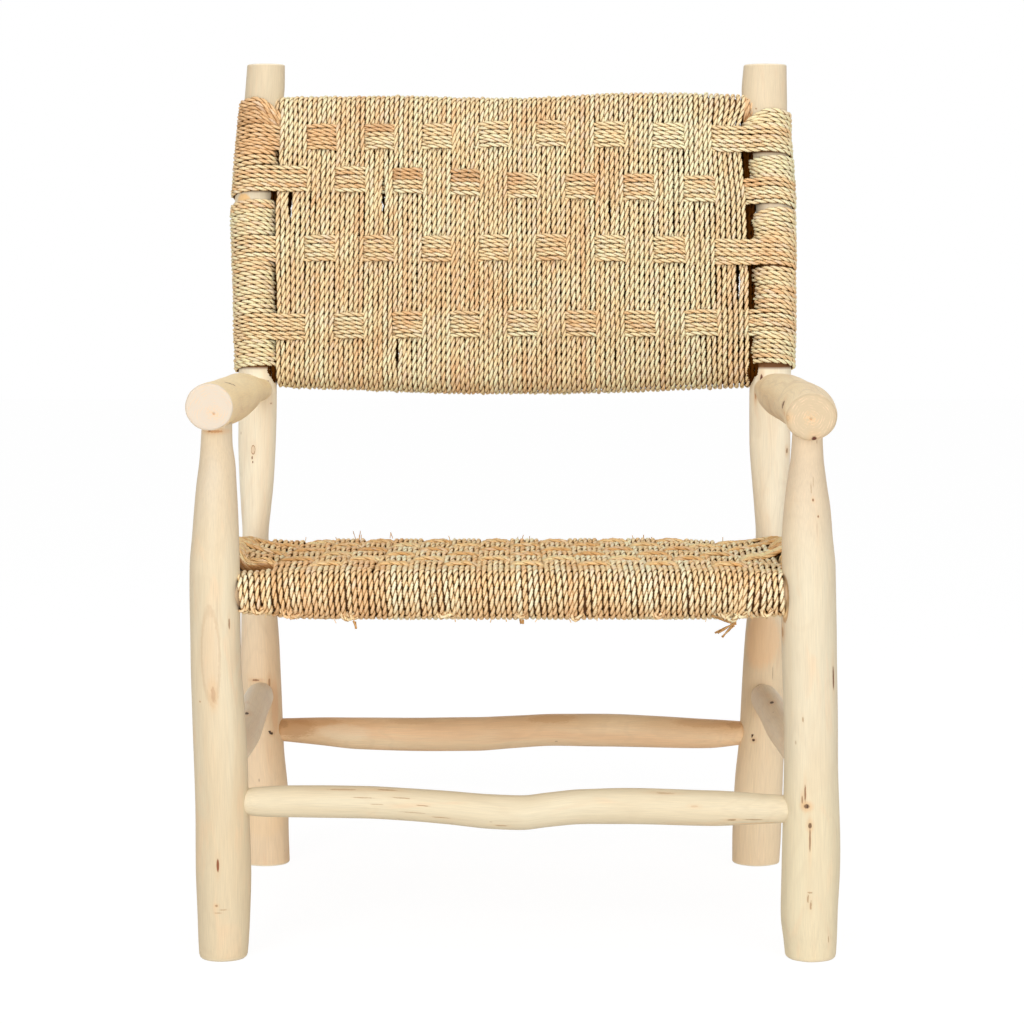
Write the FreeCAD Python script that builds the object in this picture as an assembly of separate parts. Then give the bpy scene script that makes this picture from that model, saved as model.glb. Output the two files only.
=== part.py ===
import FreeCAD, Part
import math
import os

# A low armchair of peeled natural poles, with a seat and a back woven from twisted palm cord.
# The poles are pegged into each other with round tenons and nailed. The chair stands on its
# four feet and faces -Y. Its origin lies on the floor under the middle of its outline.

Vector = FreeCAD.Vector
right = Vector(1, 0, 0)
back = Vector(0, 1, 0)
up = Vector(0, 0, 1)

# Whole chair, in millimetres
chair_height = 894
foot_spacing = 450
arm_overhang = 38
back_lean_run = 212
post_top_reach = 20.5

# Front legs
front_leg_thickness = 52
front_leg_left_x = -277
front_leg_right_x = 285

# Rear posts, which run on up past the back
post_thickness = 48
post_spread = 576

# Arms
arm_thickness = 46
arm_left_front_x = -282
arm_left_front_height = 529
arm_left_rear_x = -284.5
arm_right_front_x = 278.5
arm_right_front_height = 519
arm_right_rear_x = 287
arm_rear_height = 521.5

# Seat frame
seat_front_height = 350.5
seat_rear_height = 330
front_rail_thickness = 40
rear_rail_thickness = 40
side_rail_thickness = 32
side_rail_front_height = 375
side_rail_rear_height = 340

# Back frame
back_bottom_height = 541
back_top_height = 840
back_rail_thickness = 31

# Stretchers between the legs
cross_stretcher_thickness = 35
front_stretcher_height = 146
rear_stretcher_height = 143
side_stretcher_thickness = 33
side_stretcher_height = 179

# Joints and sawn ends
tenon_radius = 9
tenon_length = 20
neck_depth = 6
joint_clearance = 0.15
foot_chamfer = 3
end_chamfer = 2.5
pole_sides = 10
tenon_sides = 8
nail_sides = 4

# Palm cord, laid side by side in bands
cord_diameter = 5.4
cord_clearance = 0.3
cords_in_band = 6
bands = 16
band_gap = 3
web_thickness = 2.4
roll_sides = 6
seat_weave_width = 512
back_weave_width = 532
seat_wrap_gap = 2
back_wrap_left_low = 541
back_wrap_left_high = 852
back_wrap_right_low = 545
back_wrap_right_high = 844

# Nails through the tenons
nail_radius = 1.3
nail_head_radius = 2.5
nail_head_height = 1
nail_length = 24
nail_clearance = 0.1

# Rows of the natural poles: place along the pole, sway and bow of its heart, and its girth
# across and in depth. The last four are shares of the pole's own thickness.
front_leg_left_shares = [
    (0.00, 0.01, 0.00, 0.89, 0.90),
    (0.08, 0.02, 0.01, 0.96, 0.97),
    (0.19, 0.02, 0.02, 1.01, 1.00),
    (0.34, 0.00, 0.00, 0.98, 0.99),
    (0.52, -0.05, -0.03, 0.95, 0.98),
    (0.70, -0.09, -0.03, 0.91, 0.96),
    (0.82, -0.07, -0.01, 0.86, 0.90),
    (0.91, -0.05, 0.00, 0.73, 0.74),
    (1.00, -0.03, 0.00, 0.54, 0.54),
]
front_leg_right_shares = [
    (0.00, 0.02, 0.00, 0.96, 0.95),
    (0.08, 0.00, 0.01, 1.05, 1.03),
    (0.19, 0.015, 0.01, 1.065, 1.04),
    (0.34, 0.00, -0.01, 1.01, 1.02),
    (0.52, -0.04, -0.02, 0.98, 1.00),
    (0.70, -0.07, -0.02, 0.975, 0.98),
    (0.82, -0.105, 0.00, 0.91, 0.92),
    (0.91, -0.12, 0.00, 0.70, 0.74),
    (1.00, -0.12, 0.00, 0.54, 0.54),
]
post_left_shares = [
    (0.00, -0.31, 0.00, 1.06, 1.06),
    (0.10, -0.25, -0.07, 1.10, 1.08),
    (0.27, -0.115, -0.13, 0.89, 0.98),
    (0.40, 0.035, -0.13, 0.62, 0.88),
    (0.50, 0.03, -0.11, 0.85, 0.90),
    (0.58, 0.035, -0.10, 0.89, 0.92),
    (0.69, 0.15, -0.07, 0.82, 0.88),
    (0.81, 0.235, -0.04, 0.91, 0.90),
    (0.92, 0.09, -0.01, 0.88, 0.92),
    (1.00, -0.06, 0.00, 0.94, 0.92),
]
post_right_shares = [
    (0.00, -0.35, 0.00, 1.08, 1.07),
    (0.10, -0.29, -0.07, 1.12, 1.10),
    (0.27, -0.10, -0.13, 0.92, 0.99),
    (0.40, 0.06, -0.13, 0.66, 0.88),
    (0.50, 0.10, -0.11, 0.95, 0.94),
    (0.58, 0.13, -0.10, 0.96, 0.94),
    (0.69, 0.26, -0.07, 0.815, 0.88),
    (0.81, 0.275, -0.04, 0.86, 0.90),
    (0.92, 0.14, -0.01, 0.98, 0.95),
    (1.00, 0.12, 0.00, 1.03, 0.92),
]
arm_left_shares = [
    (0.00, 0.00, 0.00, 0.96, 0.96),
    (0.10, 0.01, 0.00, 1.00, 0.98),
    (0.30, 0.02, 0.01, 1.01, 1.00),
    (0.55, 0.00, 0.00, 1.03, 1.04),
    (0.78, -0.01, 0.00, 0.86, 0.86),
    (1.00, 0.00, 0.00, 0.52, 0.52),
]
arm_right_shares = [
    (0.00, 0.00, 0.00, 1.05, 0.91),
    (0.10, 0.01, 0.00, 1.07, 0.94),
    (0.30, 0.00, 0.01, 1.03, 0.99),
    (0.55, -0.02, 0.01, 1.05, 1.05),
    (0.78, -0.01, 0.00, 0.88, 0.87),
    (1.00, 0.00, 0.00, 0.52, 0.52),
]
front_rail_shares = [
    (0.00, 0.00, 0.00, 0.60, 0.60),
    (0.05, 0.00, 0.00, 0.66, 0.66),
    (0.14, 0.00, 0.00, 0.93, 0.93),
    (0.30, 0.00, 0.00, 1.00, 1.00),
    (0.70, 0.00, 0.00, 1.00, 1.00),
    (0.86, 0.00, 0.00, 0.95, 0.95),
    (0.95, 0.00, 0.00, 0.68, 0.68),
    (1.00, 0.00, 0.00, 0.60, 0.60),
]
rear_rail_shares = [
    (0.00, -0.27, 0.00, 0.54, 0.54),
    (0.08, -0.16, 0.00, 0.80, 0.80),
    (0.20, -0.03, 0.00, 0.96, 0.96),
    (0.50, 0.00, 0.00, 1.00, 1.00),
    (0.80, -0.04, 0.00, 0.98, 0.98),
    (0.92, -0.17, 0.00, 0.80, 0.80),
    (1.00, -0.27, 0.00, 0.54, 0.54),
]
side_rail_shares = [
    (0.00, 0.00, 0.00, 0.70, 0.70),
    (0.12, 0.03, 0.01, 0.92, 0.92),
    (0.50, 0.00, 0.00, 1.00, 1.00),
    (0.88, -0.02, 0.00, 0.90, 0.90),
    (1.00, 0.00, 0.00, 0.64, 0.64),
]
back_bottom_rail_shares = [
    (0.00, 0.00, 0.00, 0.75, 0.75),
    (0.10, 0.00, 0.00, 0.95, 0.95),
    (0.30, -0.11, 0.00, 1.00, 1.00),
    (0.50, -0.16, 0.00, 1.00, 1.00),
    (0.70, -0.12, 0.00, 1.00, 1.00),
    (0.90, 0.00, 0.00, 0.97, 0.97),
    (1.00, 0.00, 0.00, 0.75, 0.75),
]
back_top_rail_shares = [
    (0.00, 0.00, 0.00, 0.75, 0.75),
    (0.10, 0.00, 0.00, 0.95, 0.95),
    (0.50, 0.05, 0.00, 1.00, 1.00),
    (0.90, -0.02, 0.00, 0.97, 0.97),
    (1.00, 0.00, 0.00, 0.75, 0.75),
]
front_stretcher_shares = [
    (0.00, 0.13, 0.00, 0.80, 0.84),
    (0.10, 0.15, 0.02, 0.91, 0.92),
    (0.27, 0.14, 0.04, 0.93, 0.95),
    (0.38, -0.01, 0.02, 0.95, 0.96),
    (0.49, -0.16, 0.00, 1.01, 0.98),
    (0.60, -0.02, -0.03, 0.99, 0.98),
    (0.70, 0.05, -0.03, 1.01, 1.00),
    (0.85, -0.04, -0.02, 1.03, 0.98),
    (1.00, -0.10, 0.00, 0.91, 0.88),
]
rear_stretcher_shares = [
    (0.00, 0.04, 0.00, 0.72, 0.74),
    (0.08, 0.03, 0.01, 0.80, 0.84),
    (0.24, -0.06, 0.03, 1.03, 1.00),
    (0.40, -0.065, 0.03, 1.12, 1.04),
    (0.56, 0.05, 0.00, 1.02, 1.00),
    (0.70, 0.06, -0.02, 1.07, 1.02),
    (0.88, 0.00, 0.00, 0.99, 0.94),
    (1.00, -0.07, 0.00, 0.74, 0.76),
]
side_stretcher_shares = [
    (0.00, 0.00, 0.05, 0.78, 0.78),
    (0.20, 0.02, 0.01, 0.92, 0.92),
    (0.50, 0.03, -0.05, 1.00, 1.00),
    (0.80, 0.00, 0.02, 0.98, 0.96),
    (1.00, 0.00, 0.00, 0.82, 0.82),
]

# Rows of cord woven across, as shares of the way from one rail to the other
seat_row_shares = [0.082, 0.248, 0.415, 0.582, 0.748, 0.915]
back_row_shares = [0.157, 0.453, 0.708, 0.880]

# The floor plan, with the outline's middle at the origin
chair_depth = arm_overhang + foot_spacing + back_lean_run + post_top_reach
front_leg_y = arm_overhang - chair_depth / 2
rear_foot_y = front_leg_y + foot_spacing


class Pole:
    # A peeled branch: a straight line that its shares sway from, and an oval girth. It is
    # shaved in long flats, and its sections all lie across the u and v axes.

    def __init__(self, start, end, u_axis, v_axis, thickness, shares, rims=(0, 0)):
        self.start = start
        self.end = end
        self.u_axis = u_axis
        self.v_axis = v_axis
        self.thickness = thickness
        self.shares = shares
        self.rims = rims

    def row(self, share):
        share = min(max(share, 0), 1)
        for low, high in zip(self.shares, self.shares[1:]):
            if share <= high[0]:
                break
        part = (share - low[0]) / (high[0] - low[0])
        return [a + (b - a) * part for a, b in zip(low, high)]

    def share_at(self, axis, place):
        # How far along the pole a plane across one of the main axes cuts it
        line = self.end - self.start
        return (place - self.start.dot(axis)) / line.dot(axis)

    def heart(self, share):
        row = self.row(share)
        sway = self.u_axis * (row[1] * self.thickness)
        bow = self.v_axis * (row[2] * self.thickness)
        return self.start + (self.end - self.start) * share + sway + bow

    def radii(self, share):
        row = self.row(share)
        return row[3] * self.thickness / 2, row[4] * self.thickness / 2

    def reach(self, share, toward):
        # From the heart to the surface along one of the two axes across the pole
        u_radius, v_radius = self.radii(share)
        return u_radius if abs(self.u_axis.dot(toward)) > 0.5 else v_radius

    def section(self, share, grow):
        u_radius, v_radius = self.radii(share)
        points = []
        for side in range(pole_sides):
            angle = 2 * math.pi * side / pole_sides
            across = self.u_axis * ((u_radius + grow) * math.cos(angle))
            deep = self.v_axis * ((v_radius + grow) * math.sin(angle))
            points.append(self.heart(share) + across + deep)
        return points

    def body(self, low=0, high=1, grow=0):
        # A stretch of the pole, thicker all round by grow, with the rims broken at sawn ends
        length = (self.end - self.start).Length
        places = [(row[0], grow) for row in self.shares if low < row[0] < high]
        places = [(low, grow)] + places + [(high, grow)]
        if self.rims[0] and low == 0:
            places[0:1] = [(low, grow - self.rims[0]), (self.rims[0] / length, grow)]
        if self.rims[1] and high == 1:
            places[-1:] = [(1 - self.rims[1] / length, grow), (high, grow - self.rims[1])]
        return skin([self.section(share, size) for share, size in places])

    def sleeve(self, low, high):
        # Turns of cord laid closely round the pole
        outside = self.body(low, high, cord_clearance + cord_diameter)
        return outside.cut(self.body(low, high, cord_clearance))


def face(corners):
    return Part.Face(Part.makePolygon([*corners, corners[0]]))


def skin(rings):
    # A solid with flat facets all round, from one ring of points to the next
    faces = [face(rings[0]), face(rings[-1])]
    for low, high in zip(rings, rings[1:]):
        for index in range(len(low)):
            faces.append(face([low[index - 1], low[index], high[index]]))
            faces.append(face([low[index - 1], high[index], high[index - 1]]))
    solid = Part.Solid(Part.Shell(faces))
    if solid.Volume < 0:
        solid.reverse()
    return solid


def peg(start, end, radius, sides):
    # A whittled peg with a few flat sides
    line = end - start
    aside = line.cross(up if abs(line.dot(up)) < line.Length / 2 else back)
    aside = aside * (radius / aside.Length)
    points = []
    for side in range(sides):
        turn = FreeCAD.Rotation(line, 360 * (side + 0.5) / sides)
        points.append(start + turn.multVec(aside))
    return face(points).extrude(line)


def seat_in(host, share, toward):
    # Where the neck of a pole comes to rest inside its host, coming from one side
    return host.heart(share) + toward * (host.reach(share, toward) - neck_depth)


def tenon(seat, toward, grow=0):
    return peg(seat + toward * neck_depth, seat - toward * (tenon_length + grow),
               tenon_radius + grow, tenon_sides)


# Upright poles
leg_rims = (foot_chamfer, 0)
leg_tops = {
    -1: arm_left_front_height - arm_left_shares[1][4] * arm_thickness / 2 + neck_depth,
    1: arm_right_front_height - arm_right_shares[1][4] * arm_thickness / 2 + neck_depth,
}
legs = {}
posts = {}
for side, x, leg_shares, post_shares in (
        (-1, front_leg_left_x, front_leg_left_shares, post_left_shares),
        (1, front_leg_right_x, front_leg_right_shares, post_right_shares)):
    foot = Vector(x, front_leg_y, 0)
    top = Vector(x, front_leg_y, leg_tops[side])
    legs[side] = Pole(foot, top, right, back, front_leg_thickness, leg_shares, leg_rims)
    foot = Vector(side * post_spread / 2, rear_foot_y, 0)
    top = Vector(side * post_spread / 2, rear_foot_y + back_lean_run, chair_height)
    posts[side] = Pole(foot, top, right * side, back, post_thickness, post_shares,
                       (foot_chamfer, end_chamfer))

# Each joint names its host, its guest, the seat of the guest's neck and the way back out
poles = {}
joints = []

# Poles that run from side to side, each seated in the left and the right upright
for name, kind, hosts, height, thickness, shares in (
        ("front_seat_rail", "front_leg", legs, seat_front_height, front_rail_thickness,
         front_rail_shares),
        ("rear_seat_rail", "rear_post", posts, seat_rear_height, rear_rail_thickness,
         rear_rail_shares),
        ("back_bottom_rail", "rear_post", posts, back_bottom_height, back_rail_thickness,
         back_bottom_rail_shares),
        ("back_top_rail", "rear_post", posts, back_top_height, back_rail_thickness,
         back_top_rail_shares),
        ("front_stretcher", "front_leg", legs, front_stretcher_height,
         cross_stretcher_thickness, front_stretcher_shares),
        ("rear_stretcher", "rear_post", posts, rear_stretcher_height,
         cross_stretcher_thickness, rear_stretcher_shares)):
    line_ends = []
    for side, word, row in ((-1, "_left", shares[0]), (1, "_right", shares[-1])):
        rise = up * (row[1] * thickness)
        share = hosts[side].share_at(up, height + rise.z)
        seat = seat_in(hosts[side], share, right * -side)
        line_ends.append(seat - rise)
        joints.append((kind + word, name, seat, right * -side))
    poles[name] = Pole(line_ends[0], line_ends[1], up, back, thickness, shares)

# Poles that run from front to back on each side
for side, word in ((-1, "_left"), (1, "_right")):
    leg = legs[side]
    post = posts[side]
    for name, front_height, rear_height, thickness, shares in (
            ("side_seat_rail", side_rail_front_height, side_rail_rear_height,
             side_rail_thickness, side_rail_shares),
            ("side_stretcher", side_stretcher_height, side_stretcher_height,
             side_stretcher_thickness, side_stretcher_shares)):
        start = seat_in(leg, leg.share_at(up, front_height), back)
        end = seat_in(post, post.share_at(up, rear_height), back * -1)
        poles[name + word] = Pole(start, end, right, up, thickness, shares)
        joints.append(("front_leg" + word, name + word, start, back))
        joints.append(("rear_post" + word, name + word, end, back * -1))

# Arms, seated in the posts and carried on the tops of the front legs
for side, word, front_x, front_height, rear_x, shares in (
        (-1, "_left", arm_left_front_x, arm_left_front_height, arm_left_rear_x,
         arm_left_shares),
        (1, "_right", arm_right_front_x, arm_right_front_height, arm_right_rear_x,
         arm_right_shares)):
    start = Vector(front_x, front_leg_y - arm_overhang, front_height)
    end = seat_in(posts[side], posts[side].share_at(up, arm_rear_height), back * -1)
    end.x = rear_x
    poles["arm" + word] = Pole(start, end, right, up, arm_thickness, shares, (end_chamfer, 0))
    joints.append(("rear_post" + word, "arm" + word, end, back * -1))
    joints.append(("arm" + word, "front_leg" + word, legs[side].heart(1), up * -1))
    poles["front_leg" + word] = legs[side]
    poles["rear_post" + word] = posts[side]

# Nails, driven from the front into the stretchers' tenons and from outside into the arms' joints
nailed = {
    ("front_leg", "front_stretcher"): "stretcher_nails",
    ("rear_post", "rear_stretcher"): "stretcher_nails",
    ("rear_post", "arm"): "arm_nails",
    ("arm", "front_leg"): "arm_nails",
}


def stem(name):
    return name.replace("_left", "").replace("_right", "")


def nail(place, inward, grow=0):
    # A cut nail with a flat head, which lies just below the wood's face
    head = place + inward * nail_head_height
    shank = peg(head, head + inward * (nail_length + grow), nail_radius + grow, nail_sides)
    cap = peg(head - inward * grow, head + inward * (nail_head_height + grow),
              nail_head_radius + grow, nail_sides)
    solid = shank.fuse(cap)
    if grow:
        solid = solid.fuse(peg(head, place - inward * nail_head_radius, nail_head_radius + grow,
                               nail_sides))
    return solid.removeSplitter()


def nail_place(host, seat, toward, outward):
    # The place on the host's face over the middle of the tenon
    middle = seat - toward * (tenon_length / 2)
    main = host.u_axis.cross(host.v_axis)
    main = Vector(abs(main.x), abs(main.y), abs(main.z))
    share = host.share_at(main, middle.dot(main))
    heart = host.heart(share)
    across = main.cross(outward)
    aside = abs((middle - heart).dot(across)) / host.reach(share, across)
    bulge = host.reach(share, outward) * math.sqrt(1 - min(aside, 1) ** 2)
    return middle + outward * ((heart - middle).dot(outward) + bulge)


def build_poles():
    solids = {name: pole.body() for name, pole in poles.items()}
    for host, guest, seat, toward in joints:
        solids[guest] = solids[guest].fuse(tenon(seat, toward))
    for host, guest, seat, toward in joints:
        solids[host] = solids[host].cut(poles[guest].body(0, 1, joint_clearance))
        solids[host] = solids[host].cut(tenon(seat, toward, joint_clearance))
    groups = {}
    for host, guest, seat, toward in joints:
        node = nailed.get((stem(host), stem(guest)))
        if node is None:
            continue
        outward = back * -1
        if node == "arm_nails":
            outward = right * (-1 if host.endswith("_left") else 1)
        place = nail_place(poles[host], seat, toward, outward)
        groups.setdefault(node, []).append(nail(place, outward * -1))
        for name in (host, guest):
            solids[name] = solids[name].cut(nail(place, outward * -1, nail_clearance))
    for node, group in groups.items():
        solids[node] = Part.makeCompound(group)
    return solids


class Weave:
    # A panel of cord wound round two rails in bands, with rows of cord woven across it.
    # Places in it are given across (x), along from rail a to rail b (s) and out of it (n).

    def __init__(self, rail_a, rail_b, width):
        self.rails = (rail_a, rail_b)
        self.origin = rail_a.heart(0.5)
        self.origin.x = 0
        far = rail_b.heart(0.5)
        far.x = 0
        self.length = (far - self.origin).Length
        self.s_axis = (far - self.origin) * (1 / self.length)
        self.n_axis = right.cross(self.s_axis)
        self.width = width
        self.pitch = width / bands
        self.swell = 1 / math.cos(math.pi / roll_sides / 2)

    def point(self, x, s, n):
        return self.origin + right * x + self.s_axis * s + self.n_axis * n

    def band_left(self, band):
        return band * self.pitch - self.width / 2

    def rail_circle(self, which, band):
        # The centre under the middle of one band, and the radius that clears the rail there
        rail = self.rails[which]
        places = [self.band_left(band) + self.pitch * part for part in (0.5, 0, 1)]
        shares = [rail.share_at(right, place) for place in places]
        heart = rail.heart(shares[0]) - self.origin
        radius = 0
        for share in shares:
            away = rail.heart(share) - self.origin - heart
            radius = max(radius, max(rail.radii(share)) + abs(away.dot(self.n_axis)))
        return heart.dot(self.s_axis), heart.dot(self.n_axis), radius

    def belt_ring(self, band, grow):
        # One closed outline round both rails, with rolled ends
        points = []
        for which, first in ((0, math.pi / 2), (1, -math.pi / 2)):
            s, n, radius = self.rail_circle(which, band)
            reach = (radius + grow) * self.swell
            for step in range(roll_sides + 1):
                angle = first + math.pi * step / roll_sides
                points.append((s + reach * math.cos(angle), n + reach * math.sin(angle)))
        return points

    def belt(self, band):
        x = self.band_left(band) + band_gap / 2
        faces = []
        for grow in (cord_clearance + cord_diameter, cord_clearance):
            faces.append(face([self.point(x, s, n) for s, n in self.belt_ring(band, grow)]))
        return faces[0].cut(faces[1]).extrude(right * (self.pitch - band_gap))

    def face_level(self, band, s, side, grow):
        # How far out a face of the band lies at one row, on the near or the far side
        ends = []
        for which in (0, 1):
            place, n, radius = self.rail_circle(which, band)
            ends.append((place, n + side * (radius + grow) * self.swell))
        part = (s - ends[0][0]) / (ends[1][0] - ends[0][0])
        return ends[0][1] + (ends[1][1] - ends[0][1]) * part

    def row_levels(self, row, s, side, plain):
        # The middle of the cord in a row, as it passes over or under each band
        half = cord_diameter / 2
        levels = []
        for band in range(bands):
            if plain or (band + row) % 2 == 0:
                level = self.face_level(band, s, side, cord_clearance * 2 + cord_diameter) + side * half
            else:
                level = self.face_level(band, s, side, 0) - side * half
            levels.append(level)
        if plain:
            levels = [max(levels, key=abs)] * bands
        return levels

    def row_end(self, x, n, side, post, share):
        # Where the row comes off the turns of cord on a side pole
        heart = post.heart(share) - self.origin
        u_radius, v_radius = post.radii(share)
        reach = (u_radius + v_radius) / 2 + cord_clearance + cord_diameter / 2
        dx = heart.x - x
        dn = heart.dot(self.n_axis) - n
        distance = math.hypot(dx, dn)
        lean = math.acos(min(1, reach / distance))
        toward = math.atan2(-dn, -dx)
        turn = lean * side * (1 if dx < 0 else -1)
        angle = toward + turn
        return (heart.x + reach * math.cos(angle),
                heart.dot(self.n_axis) + reach * math.sin(angle))

    def row(self, row, s, side, posts_beside, shares_beside, plain=False):
        # A ribbon of cords that steps over and under the bands, from one side to the other
        half = cord_diameter / 2
        web = web_thickness / 2
        levels = self.row_levels(row, s, side, plain)
        outer = []
        inner = []
        first_x = self.band_left(0)
        last_x = self.band_left(bands)
        starts = self.row_end(first_x, levels[0], side, posts_beside[0], shares_beside[0])
        ends = self.row_end(last_x, levels[-1], side, posts_beside[1], shares_beside[1])
        for (x, n), (far_x, far_n) in (((first_x, levels[0]), starts),
                                       ((last_x, levels[-1]), ends)):
            run = math.hypot(far_x - x, far_n - n)
            tilt = abs(far_x - x) / run
            aside = (far_n - n) / run * (1 if far_x > x else -1)
            pair_outer = [(x, n + side * half), (far_x - aside * side * half,
                                                 far_n + tilt * side * half)]
            pair_inner = [(x, n - side * half), (far_x + aside * side * half,
                                                 far_n - tilt * side * half)]
            if x == first_x:
                outer += pair_outer[::-1]
                inner += pair_inner[::-1]
            else:
                last_outer = pair_outer
                last_inner = pair_inner
        for band in range(1, bands):
            if plain:
                continue
            x = self.band_left(band)
            rising = (levels[band] - levels[band - 1]) * side > 0
            shift = -web if rising else web
            for edge, way, sign in ((outer, shift, 1), (inner, -shift, -1)):
                edge.append((x + way, levels[band - 1] + sign * side * half))
                edge.append((x + way, levels[band] + sign * side * half))
        outer += last_outer
        inner += last_inner
        breadth = cords_in_band * cord_diameter - band_gap / 2
        outline = outer + inner[::-1]
        ribbon = face([self.point(x, s - breadth / 2, n) for x, n in outline])
        return ribbon.extrude(self.s_axis * breadth)


def largest(shape):
    return max(shape.Solids, key=lambda solid: solid.Volume)


def build_seat(solids):
    weave = Weave(poles["front_seat_rail"], poles["rear_seat_rail"], seat_weave_width)
    sides = [poles["side_seat_rail_left"], poles["side_seat_rail_right"]]
    solids["seat_warp"] = Part.makeCompound([weave.belt(band) for band in range(bands)])
    cutters = []
    for side, word, rail in ((-1, "left", sides[0]), (1, "right", sides[1])):
        leg = legs[side]
        post = posts[side]
        share = leg.share_at(up, rail.start.z)
        leg_face = leg.heart(share).y + leg.radii(share)[1] + seat_wrap_gap
        # The post leans, so the lowest turn of cord comes nearest to it
        share = post.share_at(up, rail.end.z - rail.thickness / 2 - cord_diameter)
        post_face = post.heart(share).y - post.radii(share)[1] - seat_wrap_gap
        low = rail.share_at(back, leg_face)
        high = rail.share_at(back, post_face)
        solids["seat_wrap_" + word] = rail.sleeve(low, high)
        cutters.append(rail.body(low, high, cord_clearance * 2 + cord_diameter))
    rows = []
    for row, share in enumerate(seat_row_shares):
        s = share * weave.length
        place = weave.point(0, s, 0).y
        beside = [rail.share_at(back, place) for rail in sides]
        for face_side in (1, -1):
            # Underneath, the rows run straight across
            ribbon = weave.row(row, s, face_side, sides, beside, face_side < 0)
            for cutter in cutters:
                ribbon = largest(ribbon.cut(cutter))
            rows.append(ribbon)
    solids["seat_weft"] = Part.makeCompound(rows)


def build_back(solids):
    weave = Weave(poles["back_bottom_rail"], poles["back_top_rail"], back_weave_width)
    sides = [posts[-1], posts[1]]
    solids["back_warp"] = Part.makeCompound([weave.belt(band) for band in range(bands)])
    spans = {-1: (back_wrap_left_low, back_wrap_left_high),
             1: (back_wrap_right_low, back_wrap_right_high)}
    cutters = []
    for side, word in ((-1, "left"), (1, "right")):
        post = posts[side]
        low, high = [post.share_at(up, height) for height in spans[side]]
        sleeve = post.sleeve(low, high)
        for name, which in (("back_bottom_rail", 0), ("back_top_rail", 1)):
            rail = poles[name]
            edge = rail.heart(0 if side < 0 else 1)
            edge.x = side * (back_weave_width / 2 - band_gap / 2 + cord_clearance)
            roll = weave.rail_circle(which, 0 if side < 0 else bands - 1)[2]
            roll = (roll + cord_clearance * 2 + cord_diameter) * weave.swell
            inward = right * -side
            sleeve = sleeve.cut(rail.body(0, 1, cord_clearance))
            sleeve = sleeve.cut(peg(edge, edge + inward * post_thickness, roll, pole_sides))
        solids["back_wrap_" + word] = sleeve
        cutters.append(post.body(low, high, cord_clearance * 2 + cord_diameter))
    rows = []
    for row, share in enumerate(back_row_shares):
        s = share * weave.length
        place = weave.point(0, s, 0).z
        beside = [post.share_at(up, place) for post in sides]
        for face_side in (1, -1):
            ribbon = weave.row(row, s, face_side, sides, beside)
            for cutter in cutters:
                ribbon = largest(ribbon.cut(cutter))
            rows.append(ribbon)
    solids["back_weft"] = Part.makeCompound(rows)


def main():
    os.makedirs("parts", exist_ok=True)
    solids = build_poles()
    build_seat(solids)
    build_back(solids)
    for node, shape in solids.items():
        shape.exportStep("parts/" + node + ".step")
        box = shape.BoundBox
        print(node, len(shape.Solids), "solids", round(box.XMin, 1), round(box.XMax, 1),
              round(box.YMin, 1), round(box.YMax, 1), round(box.ZMin, 1), round(box.ZMax, 1))


main()
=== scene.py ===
import math
import random

import bpy
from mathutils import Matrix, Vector, noise


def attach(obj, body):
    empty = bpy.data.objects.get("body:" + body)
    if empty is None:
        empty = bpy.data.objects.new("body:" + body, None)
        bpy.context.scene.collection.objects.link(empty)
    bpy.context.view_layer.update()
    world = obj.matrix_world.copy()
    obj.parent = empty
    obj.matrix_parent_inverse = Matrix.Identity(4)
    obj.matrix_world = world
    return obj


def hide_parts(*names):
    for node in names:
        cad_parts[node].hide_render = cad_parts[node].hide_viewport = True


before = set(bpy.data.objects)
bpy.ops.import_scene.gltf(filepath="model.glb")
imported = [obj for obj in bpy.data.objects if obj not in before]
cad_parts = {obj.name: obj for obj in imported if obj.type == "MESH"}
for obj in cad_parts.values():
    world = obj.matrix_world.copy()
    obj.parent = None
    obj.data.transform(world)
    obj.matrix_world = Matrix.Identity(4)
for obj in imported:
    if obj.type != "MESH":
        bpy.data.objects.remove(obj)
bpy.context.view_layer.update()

# A low armchair of peeled poles with a seat and a back of twisted palm cord.
# Lengths in the dictionaries are in millimetres, angles in degrees.
mm = 0.001
acrossChair = Vector((1, 0, 0))
intoChair = Vector((0, 1, 0))
upwards = Vector((0, 0, 1))


# Small helpers for node trees

def setInputs(node, inputs):
    # Links the sockets among some values to a node's inputs and sets the others
    for name, value in inputs.items():
        socket = node.inputs[name]
        if isinstance(value, bpy.types.NodeSocket):
            node.id_data.links.new(value, socket)
        else:
            socket.default_value = value


def addNode(tree, kind, inputs=None, **settings):
    node = tree.nodes.new(kind)
    for name, value in settings.items():
        setattr(node, name, value)
    setInputs(node, inputs or {})
    return node


def newNode(tree, kind, inputs=None, **settings):
    # As addNode, but gives the node's first output
    return addNode(tree, kind, inputs, **settings).outputs[0]


def treeOf(*values):
    # The tree that the sockets among some values belong to
    return next(value.id_data for value in values if isinstance(value, bpy.types.NodeSocket))


def mathNode(operation, a, b=0.0, clamp=False):
    return newNode(treeOf(a, b), "ShaderNodeMath", {0: a, 1: b}, operation=operation, use_clamp=clamp)


def plus(a, b):
    return mathNode("ADD", a, b)


def minus(a, b):
    return mathNode("SUBTRACT", a, b)


def times(a, b):
    return mathNode("MULTIPLY", a, b)


def vectorNode(operation, a, b):
    return newNode(treeOf(a, b), "ShaderNodeVectorMath", {0: a, 1: b}, operation=operation)


def lengthOf(vector):
    return addNode(treeOf(vector), "ShaderNodeVectorMath", {0: vector}, operation="LENGTH").outputs["Value"]


def joinXYZ(x, y, z):
    return newNode(treeOf(x, y, z), "ShaderNodeCombineXYZ", {"X": x, "Y": y, "Z": z})


def splitXYZ(vector):
    return addNode(treeOf(vector), "ShaderNodeSeparateXYZ", {0: vector}).outputs


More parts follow.
